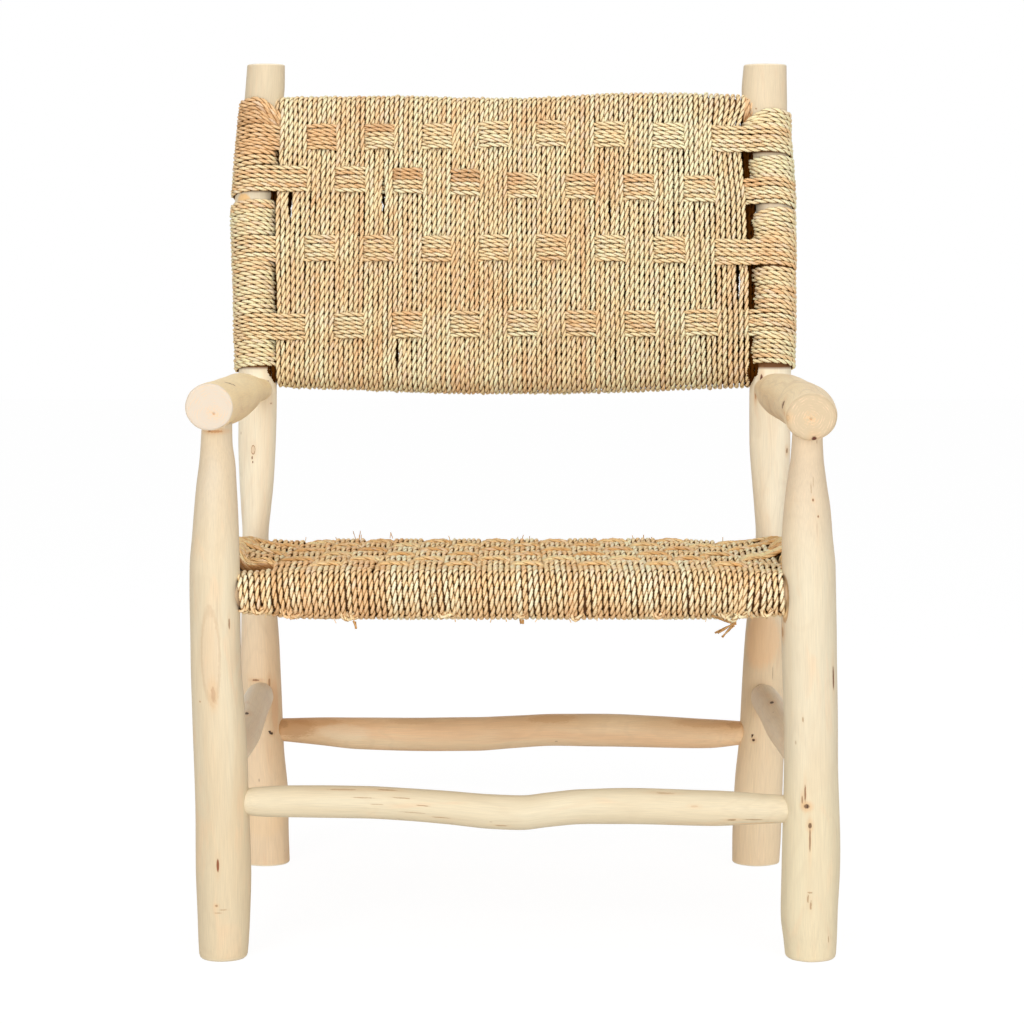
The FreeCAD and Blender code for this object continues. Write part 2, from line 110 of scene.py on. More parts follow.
def newMaterial(name):
    material = bpy.data.materials.new(name)
    material.use_nodes = True
    tree = material.node_tree
    return material, tree, tree.nodes["Principled BSDF"]


def bumpOf(height, strength, distance):
    inputs = {"Strength": strength, "Distance": distance, "Height": height}
    return newNode(treeOf(height), "ShaderNodeBump", inputs)


def attributeOf(tree, name, output="Fac"):
    return addNode(tree, "ShaderNodeAttribute", attribute_name=name).outputs[output]


def addObject(name, data):
    item = bpy.data.objects.new(name, data)
    bpy.context.scene.collection.objects.link(item)
    return item


def addPiece(name, mesh, node):
    piece = addObject(name, mesh)
    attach(piece, "root")
    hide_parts(node)


def objectPlace(tree):
    return addNode(tree, "ShaderNodeTexCoord").outputs["Object"]


def remap(value, low, high, toLow=0.0, toHigh=1.0, way="LINEAR"):
    ends = {"Value": value, "From Min": low, "From Max": high, "To Min": toLow, "To Max": toHigh}
    return newNode(treeOf(value), "ShaderNodeMapRange", ends, interpolation_type=way)


def ease(value, low, high, toLow=0.0, toHigh=1.0):
    return remap(value, low, high, toLow, toHigh, "SMOOTHSTEP")


def mixColour(factor, a, b, blend="MIX"):
    inputs = {0: factor}
    for index, value in ((6, a), (7, b)):
        inputs[index] = value if isinstance(value, bpy.types.NodeSocket) else (*value, 1)
    return addNode(treeOf(factor, a, b), "ShaderNodeMix", inputs, data_type="RGBA", blend_type=blend).outputs[2]


def greyOf(value):
    return newNode(treeOf(value), "ShaderNodeCombineColor", {0: value, 1: value, 2: value})


def noiseValue(vector, scale, detail=2.0, roughness=0.5, distortion=0.0):
    return addNode(treeOf(vector), "ShaderNodeTexNoise", {
        "Vector": vector, "Scale": scale, "Detail": detail, "Roughness": roughness, "Distortion": distortion,
    }).outputs["Fac"]


def stretchedNoise(place, stretch, *shape):
    return noiseValue(vectorNode("MULTIPLY", place, stretch), 1.0, *shape)


def newGroup(name, inputs, outputs, kind="ShaderNodeTree"):
    # Sockets are named with their kinds. Gives the tree, what goes into it and the node at its end.
    tree = bpy.data.node_groups.new(name, kind)
    for way, sockets in (("INPUT", inputs), ("OUTPUT", outputs)):
        for socketKind, titles in sockets.items():
            for title in titles:
                tree.interface.new_socket(title, in_out=way, socket_type="NodeSocket" + socketKind)
    return tree, tree.nodes.new("NodeGroupInput").outputs, tree.nodes.new("NodeGroupOutput")


lookOutputs = {"Color": ("Color",), "Float": ("Roughness", "Height")}


# Peeled wood. Every pole carries "pole": its own straight coordinates, with the pith at x = y = 0
# and z along it, "sawn", which is 1 on a sawn end, and "covered", which is 1 under the cords, where
# the wood is painted dark brown as painted shade between the cords.

def makePeeledWood():
    tree, given, end = newGroup("peeledWood", {
        "Vector": ("Pole", "Pith"), "Color": ("Light", "Warm", "Stain", "Cut", "Foot", "Top"),
        "Float": ("Sawn", "Covered", "Warmth", "Grain", "Rings", "Length", "Seed"),
    }, lookOutputs)
    shift = joinXYZ(given["Seed"], 0.0, given["Seed"])
    pole = vectorNode("ADD", given["Pole"], shift)
    # Broad warm and pale stretches along the pole
    broad = stretchedNoise(pole, (34, 34, 5.5), 3.0, 0.55, 0.6)
    warm = ease(broad, 0.36, 0.72)
    warm = mathNode("MULTIPLY", warm, given["Warmth"], clamp=True)
    parts = splitXYZ(given["Pole"])
    share = mathNode("DIVIDE", parts[2], given["Length"])
    light = mixColour(ease(share, 0.46, 0.22), given["Light"], given["Foot"])
    light = mixColour(ease(share, 0.7, 0.93), light, given["Top"])
    colour = mixColour(warm, light, given["Warm"])
    # Peach blushes where the knife went deeper
    blush = stretchedNoise(pole, (55, 55, 16), 2.0, 0.5, 0.9)
    blush = ease(blush, 0.56, 0.8, 0.0, 0.34)
    colour = mixColour(blush, colour, (0.87, 0.58, 0.34))
    # Fine fibres
    fibre = stretchedNoise(pole, (1500, 1500, 34), 3.0, 0.6)
    fibreTone = remap(fibre, 0.3, 0.7, 0.88, 1.01)
    colour = mixColour(1.0, colour, greyOf(fibreTone), "MULTIPLY")
    # Yearly rings that the peeled face runs through in long arches
    flat = joinXYZ(parts[0], parts[1], 0.0)
    wander = stretchedNoise(pole, (30, 30, 9), 1.5, 0.4)
    ringPlace = plus(lengthOf(flat), times(wander, 0.011))
    ringWave = mathNode("SINE", times(ringPlace, 3100.0))
    ring = ease(ringWave, 0.55, 1.0)
    onSide = mathNode("SUBTRACT", 1.0, given["Sawn"], clamp=True)
    arch = times(times(ring, onSide), given["Grain"])
    colour = mixColour(arch, colour, (0.6, 0.45, 0.29))
    # Grey-brown smears and pin knots
    smear = stretchedNoise(pole, (90, 90, 12), 4.0, 0.65, 1.2)
    smear = ease(smear, 0.63, 0.83, 0.0, 0.3)
    colour = mixColour(smear, colour, given["Stain"])
    stretched = vectorNode("MULTIPLY", pole, (1, 1, 0.42))
    specks = addNode(tree, "ShaderNodeTexVoronoi", {"Vector": stretched, "Scale": 78.0})
    speck = ease(specks.outputs["Distance"], 0.035, 0.085, 1.0, 0.0)
    rare = newNode(tree, "ShaderNodeSeparateColor", {0: specks.outputs["Color"]})
    rare = remap(rare, 0.72, 0.78)
    speck = times(times(speck, rare), times(onSide, 0.5))
    colour = mixColour(speck, colour, (0.36, 0.2, 0.1))
    # A sawn end: pale, with faint rings, a soft brown pith and fine rays
    flat = vectorNode("SUBTRACT", flat, given["Pith"])
    radius = lengthOf(flat)
    sawnPlace = plus(radius, times(noiseValue(flat, 60.0, 3.0), 0.009))
    sawnWave = mathNode("SINE", times(sawnPlace, 2300.0))
    broken = ease(noiseValue(flat, 150.0, 2.0), 0.4, 0.7)
    sawnRing = times(times(remap(sawnWave, 0.2, 1.0), broken), given["Rings"])
    saw = stretchedNoise(flat, (260, 2300, 1), 2.0)
    sawnColour = mixColour(sawnRing, given["Cut"], (0.78, 0.57, 0.37))
    sawnColour = mixColour(remap(saw, 0.45, 0.8, 0.0, 0.3), sawnColour, (0.72, 0.54, 0.37))
    pith = ease(radius, 0.0004, 0.0022, 0.95, 0.0)
    pith = times(pith, remap(noiseValue(flat, 620.0, 2.0), 0.3, 0.65, 0.3, 1.0))
    patchy = remap(noiseValue(flat, 420.0, 2.0), 0.4, 0.62)
    nearPith = times(ease(radius, 0.002, 0.01, 0.6, 0.0), patchy)
    sawnColour = mixColour(nearPith, sawnColour, (0.85, 0.54, 0.28))
    sawnColour = mixColour(pith, sawnColour, (0.5, 0.24, 0.1))
    colour = mixColour(given["Sawn"], colour, sawnColour)
    # Painted shade: wood under the cords is painted dark brown, as the shade seen between them
    colour = mixColour(given["Covered"], colour, (0.17, 0.065, 0.015))
    height = plus(times(fibre, 0.35), times(broad, 0.5))
    height = minus(height, times(speck, 0.8))
    setInputs(end, {"Color": colour, "Roughness": remap(fibre, 0.2, 0.8, 0.5, 0.64), "Height": height})
    return tree


def makeWoodMark():
    # A knot, a nail's hole or a crack, as an oval about one place of the pole's coordinates
    tree, given, end = newGroup("woodMark", {"Vector": ("Pole", "Centre", "Size"), "Float": ("Ragged",)},
                                {"Float": ("Core", "Halo", "Rim")})
    away = vectorNode("SUBTRACT", given["Pole"], given["Centre"])
    far = lengthOf(vectorNode("DIVIDE", away, given["Size"]))
    rough = stretchedNoise(given["Pole"], (900, 900, 260), 2.0)
    far = plus(far, times(minus(rough, 0.5), given["Ragged"]))
    rim = ease(mathNode("ABSOLUTE", minus(far, 1.0)), 0.04, 0.2, 1.0, 0.0)
    setInputs(end, {"Core": ease(far, 0.7, 1.15, 1.0, 0.0), "Halo": ease(far, 0.9, 3.4, 1.0, 0.0), "Rim": rim})
    return tree


peeledWood = makePeeledWood()
woodMark = makeWoodMark()


def woodMaterial(name, look, length, marks):
    material, tree, shader = newMaterial(name)
    pole = attributeOf(tree, "pole", "Vector")
    inputs = {"Pole": pole, "Sawn": attributeOf(tree, "sawn"), "Covered": attributeOf(tree, "covered"),
              "Warmth": look["warmth"], "Grain": look.get("grain", 0.085), "Rings": look.get("rings", 0.1),
              "Length": length * mm, "Pith": Vector(look.get("pith", (0, 0, 0))) * mm, "Seed": look["seed"]}
    for title in ("Light", "Warm", "Stain", "Cut", "Foot", "Top"):
        inputs[title] = (*look.get(title.lower(), look["light"]), 1)
    wood = addNode(tree, "ShaderNodeGroup", inputs, node_tree=peeledWood).outputs
    colour, height = wood["Color"], wood["Height"]
    for centre, size, ragged, tone, core, halo, rim in marks:
        place = {"Pole": pole, "Centre": centre, "Size": size, "Ragged": ragged}
        mark = addNode(tree, "ShaderNodeGroup", place, node_tree=woodMark).outputs
        if halo:
            colour = mixColour(times(mark["Halo"], halo), colour, (0.72, 0.43, 0.2))
        if rim:
            colour = mixColour(times(mark["Rim"], rim), colour, (0.45, 0.25, 0.12))
        core = times(mark["Core"], core)
        colour = mixColour(core, colour, tone)
        height = minus(height, core)
    setInputs(shader, {"Base Color": colour, "Roughness": wood["Roughness"],
                       "Normal": bumpOf(height, 0.35, 0.0006), "Specular IOR Level": 0.32})
    return material


# Poles

def steadyCurve(places, values):
    # A smooth curve through given values that never swings past them
    steps = [(b - a) for a, b in zip(places, places[1:])]
    rises = [(b - a) / step for a, b, step in zip(values, values[1:], steps)]
    slopes = [rises[0]]
    for before, after in zip(rises, rises[1:]):
        slopes.append(0 if before * after <= 0 else 2 * before * after / (before + after))
    slopes.append(rises[-1])

    def read(place):
        place = min(max(place, places[0]), places[-1])
        index = 0
        while index < len(steps) - 1 and place > places[index + 1]:
            index += 1
        t = (place - places[index]) / steps[index]
        return ((1 + 2 * t) * (1 - t) ** 2 * values[index] + t * (1 - t) ** 2 * steps[index] * slopes[index]
                + t * t * (3 - 2 * t) * values[index + 1] + t * t * (t - 1) * steps[index] * slopes[index + 1])
    return read


# How deep the drawknife's waves and flats are, as shares of the radius, and how long
knife = {"wave": 0.03, "waveLength": 75, "flat": 0.022, "flatLength": 120}


class Pole:
    # Rows give, at shares of the length, the heart's two offsets and the two girths as shares of girth
    def __init__(self, spec):
        self.spec = spec
        self.start = Vector(spec["from"])
        self.line = Vector(spec["to"]) - self.start
        self.length = self.line.length
        self.across = spec["across"]
        self.deep = spec["deep"]
        places = [row[0] for row in spec["rows"]]
        self.curves = [steadyCurve(places, [row[i] for row in spec["rows"]]) for i in range(1, 5)]

    def heart(self, share):
        sway, bow = [self.curves[i](share) * self.spec["girth"] for i in (0, 1)]
        return self.start + self.line * share + self.across * sway + self.deep * bow

    def radii(self, share):
        return [self.curves[i](share) * self.spec["girth"] / 2 for i in (2, 3)]

    def skinAt(self, share, angle, inset=0.0):
        # A point of the skin, with the waves and flats that the drawknife left
        a, b = self.radii(share)
        x, y = math.cos(angle), math.sin(angle)
        seed = self.spec["seed"]
        along = share * self.length
        wave = noise.noise(Vector((x * 1.1 + seed, y * 1.1, along / knife["waveLength"]))) * knife["wave"]
        wave += noise.noise(Vector((x * 2.6, y * 2.6 + seed, along / knife["flatLength"] + 7))) * knife["flat"]
        return [part * max(radius * (1 + wave) - inset, 0.01) for part, radius in ((x, a), (y, b))]

    def markPlace(self, along, angle):
        x, y = self.skinAt(along / self.length, math.radians(angle))
        return (x * mm, y * mm, along * mm)


def poleRings(pole, rims, step):
    # Rings from end to end as share, inset and sawn, with a rounded rim where an end is sawn
    rings = []
    for cap, rim in enumerate(rims):
        around = [(0.0, 0.0, 0.0)]
        if rim:
            reach = min(pole.radii(cap))
            around = [(0.0, reach - (reach - rim) * part, 1.0) for part in (0.04, 0.25, 0.5, 0.75, 0.9)]
            for turn in (0, 30, 60, 90):
                lift = rim * (1 - math.cos(math.radians(turn)))
                inset = rim * (1 - math.sin(math.radians(turn)))
                around.append((lift, inset, 1.0 if turn < 90 else 0.0))
        if cap == 0:
            rings += [(along / pole.length, inset, sawn) for along, inset, sawn in around]
            count = round(pole.length / step)
            inner = [i for i in range(1, count) if rims[0] < i * step < pole.length - rims[1]]
            rings += [(i / count, 0.0, 0.0) for i in inner]
        else:
            rings += [(1 - along / pole.length, inset, sawn) for along, inset, sawn in reversed(around)]
    return rings


def buildPole(name, pole):
    spec = pole.spec
    sides = spec["sides"]
    rings = poleRings(pole, spec.get("rims", (0, 0)), spec["step"])
    points, straight, sawns, covers = [], [], [], []
    for share, inset, sawn in rings:
        heart = pole.heart(share)
        along = share * pole.length
        for side in range(sides):
            x, y = pole.skinAt(share, 2 * math.pi * side / sides, inset)
            points.append((heart + pole.across * x + pole.deep * y) * mm)
            straight.append((x * mm, y * mm, along * mm))
            sawns.append(sawn)
            covers.append(float(any(low < along < high for low, high in spec.get("covered", []))))
    faces = []
    for ring in range(len(rings) - 1):
        for side in range(sides):
            a = ring * sides + side
            b = ring * sides + (side + 1) % sides
            faces.append((a, b, b + sides, a + sides))
    faces.append(tuple(range(sides))[::-1])
    faces.append(tuple(range((len(rings) - 1) * sides, len(rings) * sides)))
    if pole.across.cross(pole.deep).dot(pole.line) < 0:
        faces = [face[::-1] for face in faces]
    mesh = bpy.data.meshes.new(name)
    mesh.from_pydata(points, [], faces)
    mesh.shade_smooth()
    coordinate = mesh.attributes.new("pole", "FLOAT_VECTOR", "POINT")
    coordinate.data.foreach_set("vector", [value for place in straight for value in place])
    for title, values in (("sawn", sawns), ("covered", covers)):
        mesh.attributes.new(title, "FLOAT", "POINT").data.foreach_set("value", values)
    addPiece(name, mesh, spec["node"])
    marks = []
    for along, angle, size, ragged, tone, core, *edges in spec.get("marks", []):
        halo, rim = (*edges, 0, 0)[:2]
        size = tuple(value * mm for value in size)
        marks.append((pole.markPlace(along, angle), size, ragged, tone, core, halo, rim))
    mesh.materials.append(woodMaterial(name + "Wood", spec["look"], pole.length, marks))


paleLook = {
    "light": (0.815, 0.705, 0.505), "warm": (0.775, 0.6, 0.38), "stain": (0.6, 0.44, 0.28), "warmth": 0.5,
}
tanLook = {"light": (0.98, 0.76, 0.5), "warm": (0.9, 0.62, 0.37), "stain": (0.5, 0.32, 0.18), "warmth": 0.6}
blackHole = (0.09, 0.045, 0.025)
brownKnot = (0.3, 0.15, 0.07)
fineCrack = (0.42, 0.25, 0.13)
amberSpot = (0.72, 0.38, 0.14)
sawLine = (0.52, 0.36, 0.22)
greyKnot = (0.3, 0.19, 0.11)
ruddyStain = (0.4, 0.2, 0.1)
darkCrack = (0.33, 0.19, 0.09)
softSmear = (0.66, 0.37, 0.16)


def look(base, seed, **changes):
    return {**base, "seed": seed, **changes}


def roundRows(*rows):
    # Rows of a pole that doesn't bow and is as thick both ways
    return [(share, sway, 0, girth, girth) for share, sway, girth in rows]


# What poles of one kind have in common
legKind = {"slot": "pale_wood", "across": acrossChair, "deep": intoChair, "girth": 52, "sides": 64, "step": 3.5}
postKind = {"slot": "tan_wood", "deep": intoChair, "girth": 48, "rims": (2.2, 1.8), "sides": 56, "step": 3.5}
armKind = {"slot": "pale_wood", "across": acrossChair, "deep": upwards, "girth": 46, "sides": 64, "step": 4}
stretcherKind = {"across": upwards, "deep": intoChair, "sides": 48}
sideStretcherKind = {**armKind, "girth": 33, "sides": 40, "step": 5}
railKind = {"slot": "pale_wood", "across": upwards, "deep": intoChair, "sides": 32, "step": 8}

# Marks: along the pole, degrees round it, size (across, deep, along), raggedness, tone and the
# strengths of its core, and where given of its halo and its rim
frontLegLeft = {
    **legKind, "node": "front_leg_left", "from": (-277, -322.25, 0), "to": (-277, -322.25, 512.5),
    "seed": 1.3, "rims": (4, 0), "rows": [
        (0, 0.01, 0, 0.88, 0.9), (0.03, 0.015, 0, 0.92, 0.94), (0.08, 0.02, 0.01, 0.96, 0.97),
        (0.17, 0.023, 0.02, 1.012, 1), (0.3, 0.005, 0, 0.98, 0.99), (0.45, -0.03, -0.03, 0.97, 0.98),
        (0.57, -0.08, -0.03, 0.92, 0.97), (0.73, -0.085, -0.03, 0.91, 0.95),
        (0.8, -0.068, -0.01, 0.84, 0.9), (0.885, -0.045, -0.01, 0.725, 0.77), (0.93, -0.03, 0, 0.645, 0.67),
        (0.96, -0.04, 0, 0.58, 0.58), (1, -0.03, 0, 0.55, 0.55),
    ], "look": look(
        paleLook, 3.1, light=(0.755, 0.645, 0.455), warm=(0.72, 0.55, 0.34), foot=(0.73, 0.6, 0.4),
        top=(0.735, 0.61, 0.44), warmth=0.6
    ), "marks": [
        (93.8, -96, (1.35, 1.6, 6.6), 0.35, (0.27, 0.09, 0.035), 1, 0.15),
        (324, -51, (0.8, 1.2, 5.6), 0.5, brownKnot, 0.9, 0.15),
        (294, -97, (9, 9, 43), 0.35, (0.74, 0.52, 0.33), 0.26, 0, 0.22),
        (257, -94, (2.2, 2, 7.5), 1.6, (0.5, 0.3, 0.17), 0.6, 0.3),
        (336, -80, (0.4, 1, 15), 0.6, (0.6, 0.43, 0.29), 0.6),
        (505, -92, (8, 5, 1.3), 1.5, (0.55, 0.28, 0.12), 0.85, 0.45),
        (505.5, -112, (1.1, 1.5, 1), 0.5, brownKnot, 0.8),
        (55, -100, (1.3, 1.2, 1.1), 0.4, fineCrack, 0.9, 0.3),
        (51, -86, (4, 1.5, 0.6), 1.4, fineCrack, 0.6, 0.1),
        (48, -97, (3.5, 1.5, 0.6), 1.4, fineCrack, 0.5, 0.1),
        (250, -128, (0.9, 1.2, 0.9), 0.4, fineCrack, 0.9, 0.1),
    ],
}
frontLegRight = {
    **legKind, "node": "front_leg_right", "from": (285, -322.25, 0), "to": (285, -322.25, 503.4),
    "seed": 5.7, "rims": (3.4, 0), "rows": [
        (0, 0.02, 0, 0.93, 0.95), (0.03, 0.015, 0, 0.98, 0.98), (0.08, -0.003, 0.01, 1.05, 1.03),
        (0.17, 0.015, 0.01, 1.065, 1.04), (0.38, -0.004, -0.01, 0.995, 1.02),
        (0.6, -0.054, -0.02, 0.985, 1), (0.745, -0.075, -0.02, 0.965, 0.98), (0.81, -0.107, 0, 0.905, 0.92),
        (0.86, -0.11, 0, 0.83, 0.84), (0.905, -0.12, 0, 0.715, 0.74), (0.955, -0.12, 0, 0.59, 0.6),
        (1, -0.12, 0, 0.545, 0.545),
    ], "look": look(
        paleLook, 8.4, light=(0.77, 0.666, 0.48), foot=(0.785, 0.68, 0.465), top=(0.74, 0.59, 0.41),
        warmth=0.35
    ), "marks": [
        (150.8, -105, (2.7, 2.6, 2.3), 0.6, blackHole, 1, 0.6, 0.3),
        (163, -108, (0.85, 1.6, 9), 0.9, brownKnot, 0.95, 0.25),
        (157, -114, (0.8, 1.6, 4), 0.9, brownKnot, 0.8, 0.35),
        (132.4, -98, (1.7, 2, 2.9), 0.6, blackHole, 1, 0.4),
        (119, -98, (0.85, 1.6, 12), 0.6, brownKnot, 0.9, 0.2),
        (68, -97, (3, 1.5, 0.8), 1.2, fineCrack, 0.7),
        (62.5, -100, (0.8, 1.5, 4), 1.3, fineCrack, 0.8, 0.1),
        (56, -94, (1, 1.5, 4), 1.6, fineCrack, 0.8, 0.1),
        (21.9, -54, (0.45, 1.5, 4.3), 0.6, fineCrack, 0.8),
        (233.5, -112, (0.6, 1.5, 2.6), 0.6, fineCrack, 0.9, 0.1),
        (272, -37, (0.9, 2.6, 12), 0.5, (0.2, 0.1, 0.05), 1, 0.2),
        (440.8, -80, (0.9, 1.2, 1.5), 0.5, brownKnot, 1, 0.25),
        (425.3, -68, (0.8, 1.2, 1.2), 0.5, brownKnot, 1, 0.2),
        (452, -84, (0.5, 1.2, 8), 1.5, fineCrack, 0.7), (458, -77, (0.4, 1.2, 6), 1.5, fineCrack, 0.6),
        (414, -72, (0.4, 1.2, 10), 0.7, (0.55, 0.38, 0.24), 0.7),
        (346, -160, (6, 7, 20), 0.3, (0.9, 0.62, 0.27), 0.7, 0, 0.9),
        (314, -172, (2, 3, 5), 1, (0.5, 0.27, 0.12), 0.8, 0.4),
    ],
}
rearPostLeft = {
    **postKind, "node": "rear_post_left", "from": (-288, 127.75, 0), "to": (-288, 339.75, 894),
    "across": -acrossChair, "seed": 9.2, "covered": ((559, 749), (767, 862)), "rows": [
        (0, -0.31, 0, 1.07, 1.06), (0.08, -0.25, -0.06, 1.1, 1.08), (0.14, -0.17, -0.09, 1.03, 1.04),
        (0.27, -0.105, -0.13, 0.89, 0.98), (0.355, -0.02, -0.13, 0.72, 0.92),
        (0.4, 0.035, -0.13, 0.615, 0.88), (0.434, 0.033, -0.12, 0.71, 0.88),
        (0.465, 0.03, -0.11, 0.8, 0.89), (0.52, 0.03, -0.11, 0.88, 0.9), (0.58, 0.033, -0.1, 0.9, 0.92),
        (0.69, 0.135, -0.07, 0.82, 0.88), (0.81, 0.19, -0.04, 0.91, 0.9), (0.92, 0.08, -0.01, 0.87, 0.92),
        (0.965, -0.03, 0, 0.95, 0.92), (1, -0.06, 0, 0.92, 0.92),
    ], "look": look(
        tanLook, 12.7, light=(0.98, 0.88, 0.67), warm=(0.9, 0.7, 0.47), foot=(0.925, 0.71, 0.47),
        top=(0.76, 0.63, 0.43), warmth=0.5
    ), "marks": [
        (467, -83, (2.1, 2.4, 5), 0.5, (0.66, 0.42, 0.24), 0.4, 0.15, 1),
        (458, -80, (0.9, 1.2, 2), 0.4, brownKnot, 0.95), (453, -82, (0.8, 1.2, 1.5), 0.4, brownKnot, 0.9),
        (207, -80, (4.5, 2, 1.1), 1, (0.33, 0.15, 0.07), 0.9, 0.45),
        (204, -120, (1.2, 2, 5), 0.9, ruddyStain, 0.8, 0.4),
        (191, -119, (1.3, 2, 2.6), 0.8, ruddyStain, 0.9, 0.4),
        (178, -138, (5.5, 5.5, 34), 0.6, (0.82, 0.46, 0.22), 0.4, 0.15),
        (147, -124, (1.8, 2, 1.6), 0.5, blackHole, 1, 0.4),
        (60, -90, (30, 26, 30), 0.4, (0.98, 0.68, 0.36), 0.25),
        (758, -60, (9, 9, 7), 0.5, (0.95, 0.56, 0.2), 0.75),
        (556, -139, (0.9, 1.2, 0.8), 0.6, fineCrack, 0.75),
        (546, -129, (0.9, 1.2, 1), 0.6, fineCrack, 0.75), (538, -136, (0.7, 1.2, 0.7), 0.6, fineCrack, 0.7),
        (528, -128, (0.7, 1.2, 0.9), 0.6, fineCrack, 0.7),
        (520, -140, (1.2, 1.5, 0.9), 0.6, fineCrack, 0.8, 0.2),
    ],
}
rearPostRight = {
    **postKind, "node": "rear_post_right", "from": (288, 127.75, 0), "to": (288, 339.75, 894),
    "across": acrossChair, "seed": 14.9, "covered": ((562, 739), (753, 800), (813, 849)), "rows": [
        (0, -0.35, 0, 1.08, 1.07), (0.04, -0.32, -0.05, 1.13, 1.1), (0.1, -0.255, -0.07, 1.12, 1.1),
        (0.15, -0.18, -0.09, 1.06, 1.06), (0.27, -0.09, -0.13, 0.92, 0.99),
        (0.355, 0.01, -0.13, 0.74, 0.92), (0.4, 0.06, -0.13, 0.64, 0.88), (0.434, 0.08, -0.12, 0.73, 0.9),
        (0.465, 0.1, -0.11, 0.85, 0.93), (0.52, 0.105, -0.11, 0.97, 0.94), (0.58, 0.12, -0.1, 0.97, 0.94),
        (0.69, 0.26, -0.07, 0.815, 0.88), (0.81, 0.275, -0.04, 0.86, 0.9), (0.92, 0.14, -0.01, 0.97, 0.94),
        (0.965, 0.09, 0, 1.09, 0.98), (1, 0.12, 0, 1.03, 0.94),
    ], "look": look(
        tanLook, 17.3, light=(0.97, 0.86, 0.65), warm=(0.9, 0.69, 0.46), foot=(0.92, 0.73, 0.485),
        top=(0.78, 0.65, 0.45), warmth=0.5
    ), "marks": [
        (549, -121, (1.5, 2.4, 5), 0.5, (0.14, 0.05, 0.025), 1, 0.4),
        (529, -139, (0.8, 1.6, 4.5), 1, (0.5, 0.25, 0.1), 0.8, 0.5),
        (538, -132, (1.5, 1.2, 2), 1, (0.62, 0.34, 0.14), 0.6, 0.3),
        (465.6, -40, (1.3, 2.2, 3.2), 0.7, (0.33, 0.18, 0.09), 0.9, 0.35),
        (140, -116, (1.8, 2, 1.6), 0.5, blackHole, 1, 0.4),
        (865, -120, (0.9, 1.2, 1), 0.3, brownKnot, 0.85, 0.15),
        (252, -110, (26, 20, 34), 0.4, (1, 0.58, 0.27), 0.42),
        (215, -70, (0.5, 1.5, 9), 0.8, fineCrack, 0.6),
    ],
}
armLeft = {
    **armKind, "node": "arm_left", "from": (-282, -360.25, 529), "to": (-284.5, 230.6, 521.5), "seed": 21.4,
    "rims": (2, 0), "rows": [
        (0, 0, 0, 0.965, 0.965), (0.1, 0.01, 0, 1, 0.98), (0.3, 0.02, 0.01, 1.01, 1),
        (0.55, -0.05, 0.03, 0.98, 0.98), (0.78, -0.08, 0.04, 0.76, 0.78), (0.93, -0.06, 0.02, 0.6, 0.6),
        (1, 0, 0, 0.54, 0.54),
    ], "look": look(
        paleLook, 24.2, light=(1.04, 0.85, 0.525), warm=(0.94, 0.71, 0.41), warmth=0.6,
        cut=(0.685, 0.582, 0.465), pith=(4.5, -6, 0), rings=1
    ), "marks": [
        (80, 67, (3, 2.2, 4), 0.6, greyKnot, 1, 0.1),
        (87, 60, (2.2, 2.4, 4.5), 0.6, greyKnot, 1, 0.1),
        (95, 53, (1.8, 2.2, 4), 0.6, greyKnot, 1, 0.1),
        (92, 5, (2, 9, 0.7), 0.5, (0.62, 0.44, 0.27), 0.5),
        (88, -14, (1.6, 1.2, 1.2), 0.7, fineCrack, 0.7, 0.1),
        (3, -55, (14, 10, 0.7), 0.6, (0.7, 0.47, 0.27), 0.6),
        (40, 75, (4, 1.5, 0.5), 0.6, (0.62, 0.45, 0.28), 0.5),
    ],
}
armRight = {
    **armKind, "node": "arm_right", "from": (278.5, -360.25, 519), "to": (287, 230.1, 521.5), "seed": 27.8,
    "rims": (4.5, 0), "rows": [
        (0, 0.01, 0.01, 1.04, 0.95), (0.04, 0.03, 0.045, 1.07, 1), (0.12, 0.06, 0.1, 1.1, 1.03),
        (0.3, 0.05, 0.11, 1.04, 1.01), (0.55, 0.03, 0.09, 1.04, 1.03), (0.78, 0.03, 0.06, 0.88, 0.88),
        (0.93, 0.02, 0.03, 0.64, 0.64), (1, 0, 0, 0.54, 0.54),
    ], "look": look(
        paleLook, 31.6, light=(0.95, 0.77, 0.5), warm=(0.84, 0.62, 0.37), warmth=0.8,
        cut=(0.61, 0.472, 0.297), pith=(-0.8, -1.4, 0), grain=0.25, rings=1
    ), "marks": [
        (54, 166, (2.4, 4.6, 8), 0.5, (0.2, 0.1, 0.05), 1, 0.25),
        (0.5, -84, (3, 4.4, 3), 0.6, (0.12, 0.03, 0.015), 1, 0.3),
        (0, -178, (3, 3, 3), 0.9, (0.8, 0.5, 0.25), 0.35, 0.35, 0.5),
        (24, 178, (2, 2.5, 7), 0.9, amberSpot, 0.5, 0.3),
        (8, -128, (1.2, 1.2, 1.2), 0.5, amberSpot, 0.8, 0.2),
        (10, -150, (1, 1.4, 1), 0.5, amberSpot, 0.7, 0.2),
        (9, 75, (17, 5, 0.5), 0.9, sawLine, 0.5),
        (16, 65, (16, 5, 0.6), 0.9, sawLine, 0.55),
        (25, 75, (16, 5, 0.6), 0.9, sawLine, 0.5),
        (38, 66, (15, 5, 0.6), 0.9, sawLine, 0.45),
        (66, 168, (4, 13, 0.8), 0.8, (0.5, 0.33, 0.2), 0.5),
        (92, 160, (4, 11, 0.8), 0.8, (0.5, 0.33, 0.2), 0.4),
    ],
}
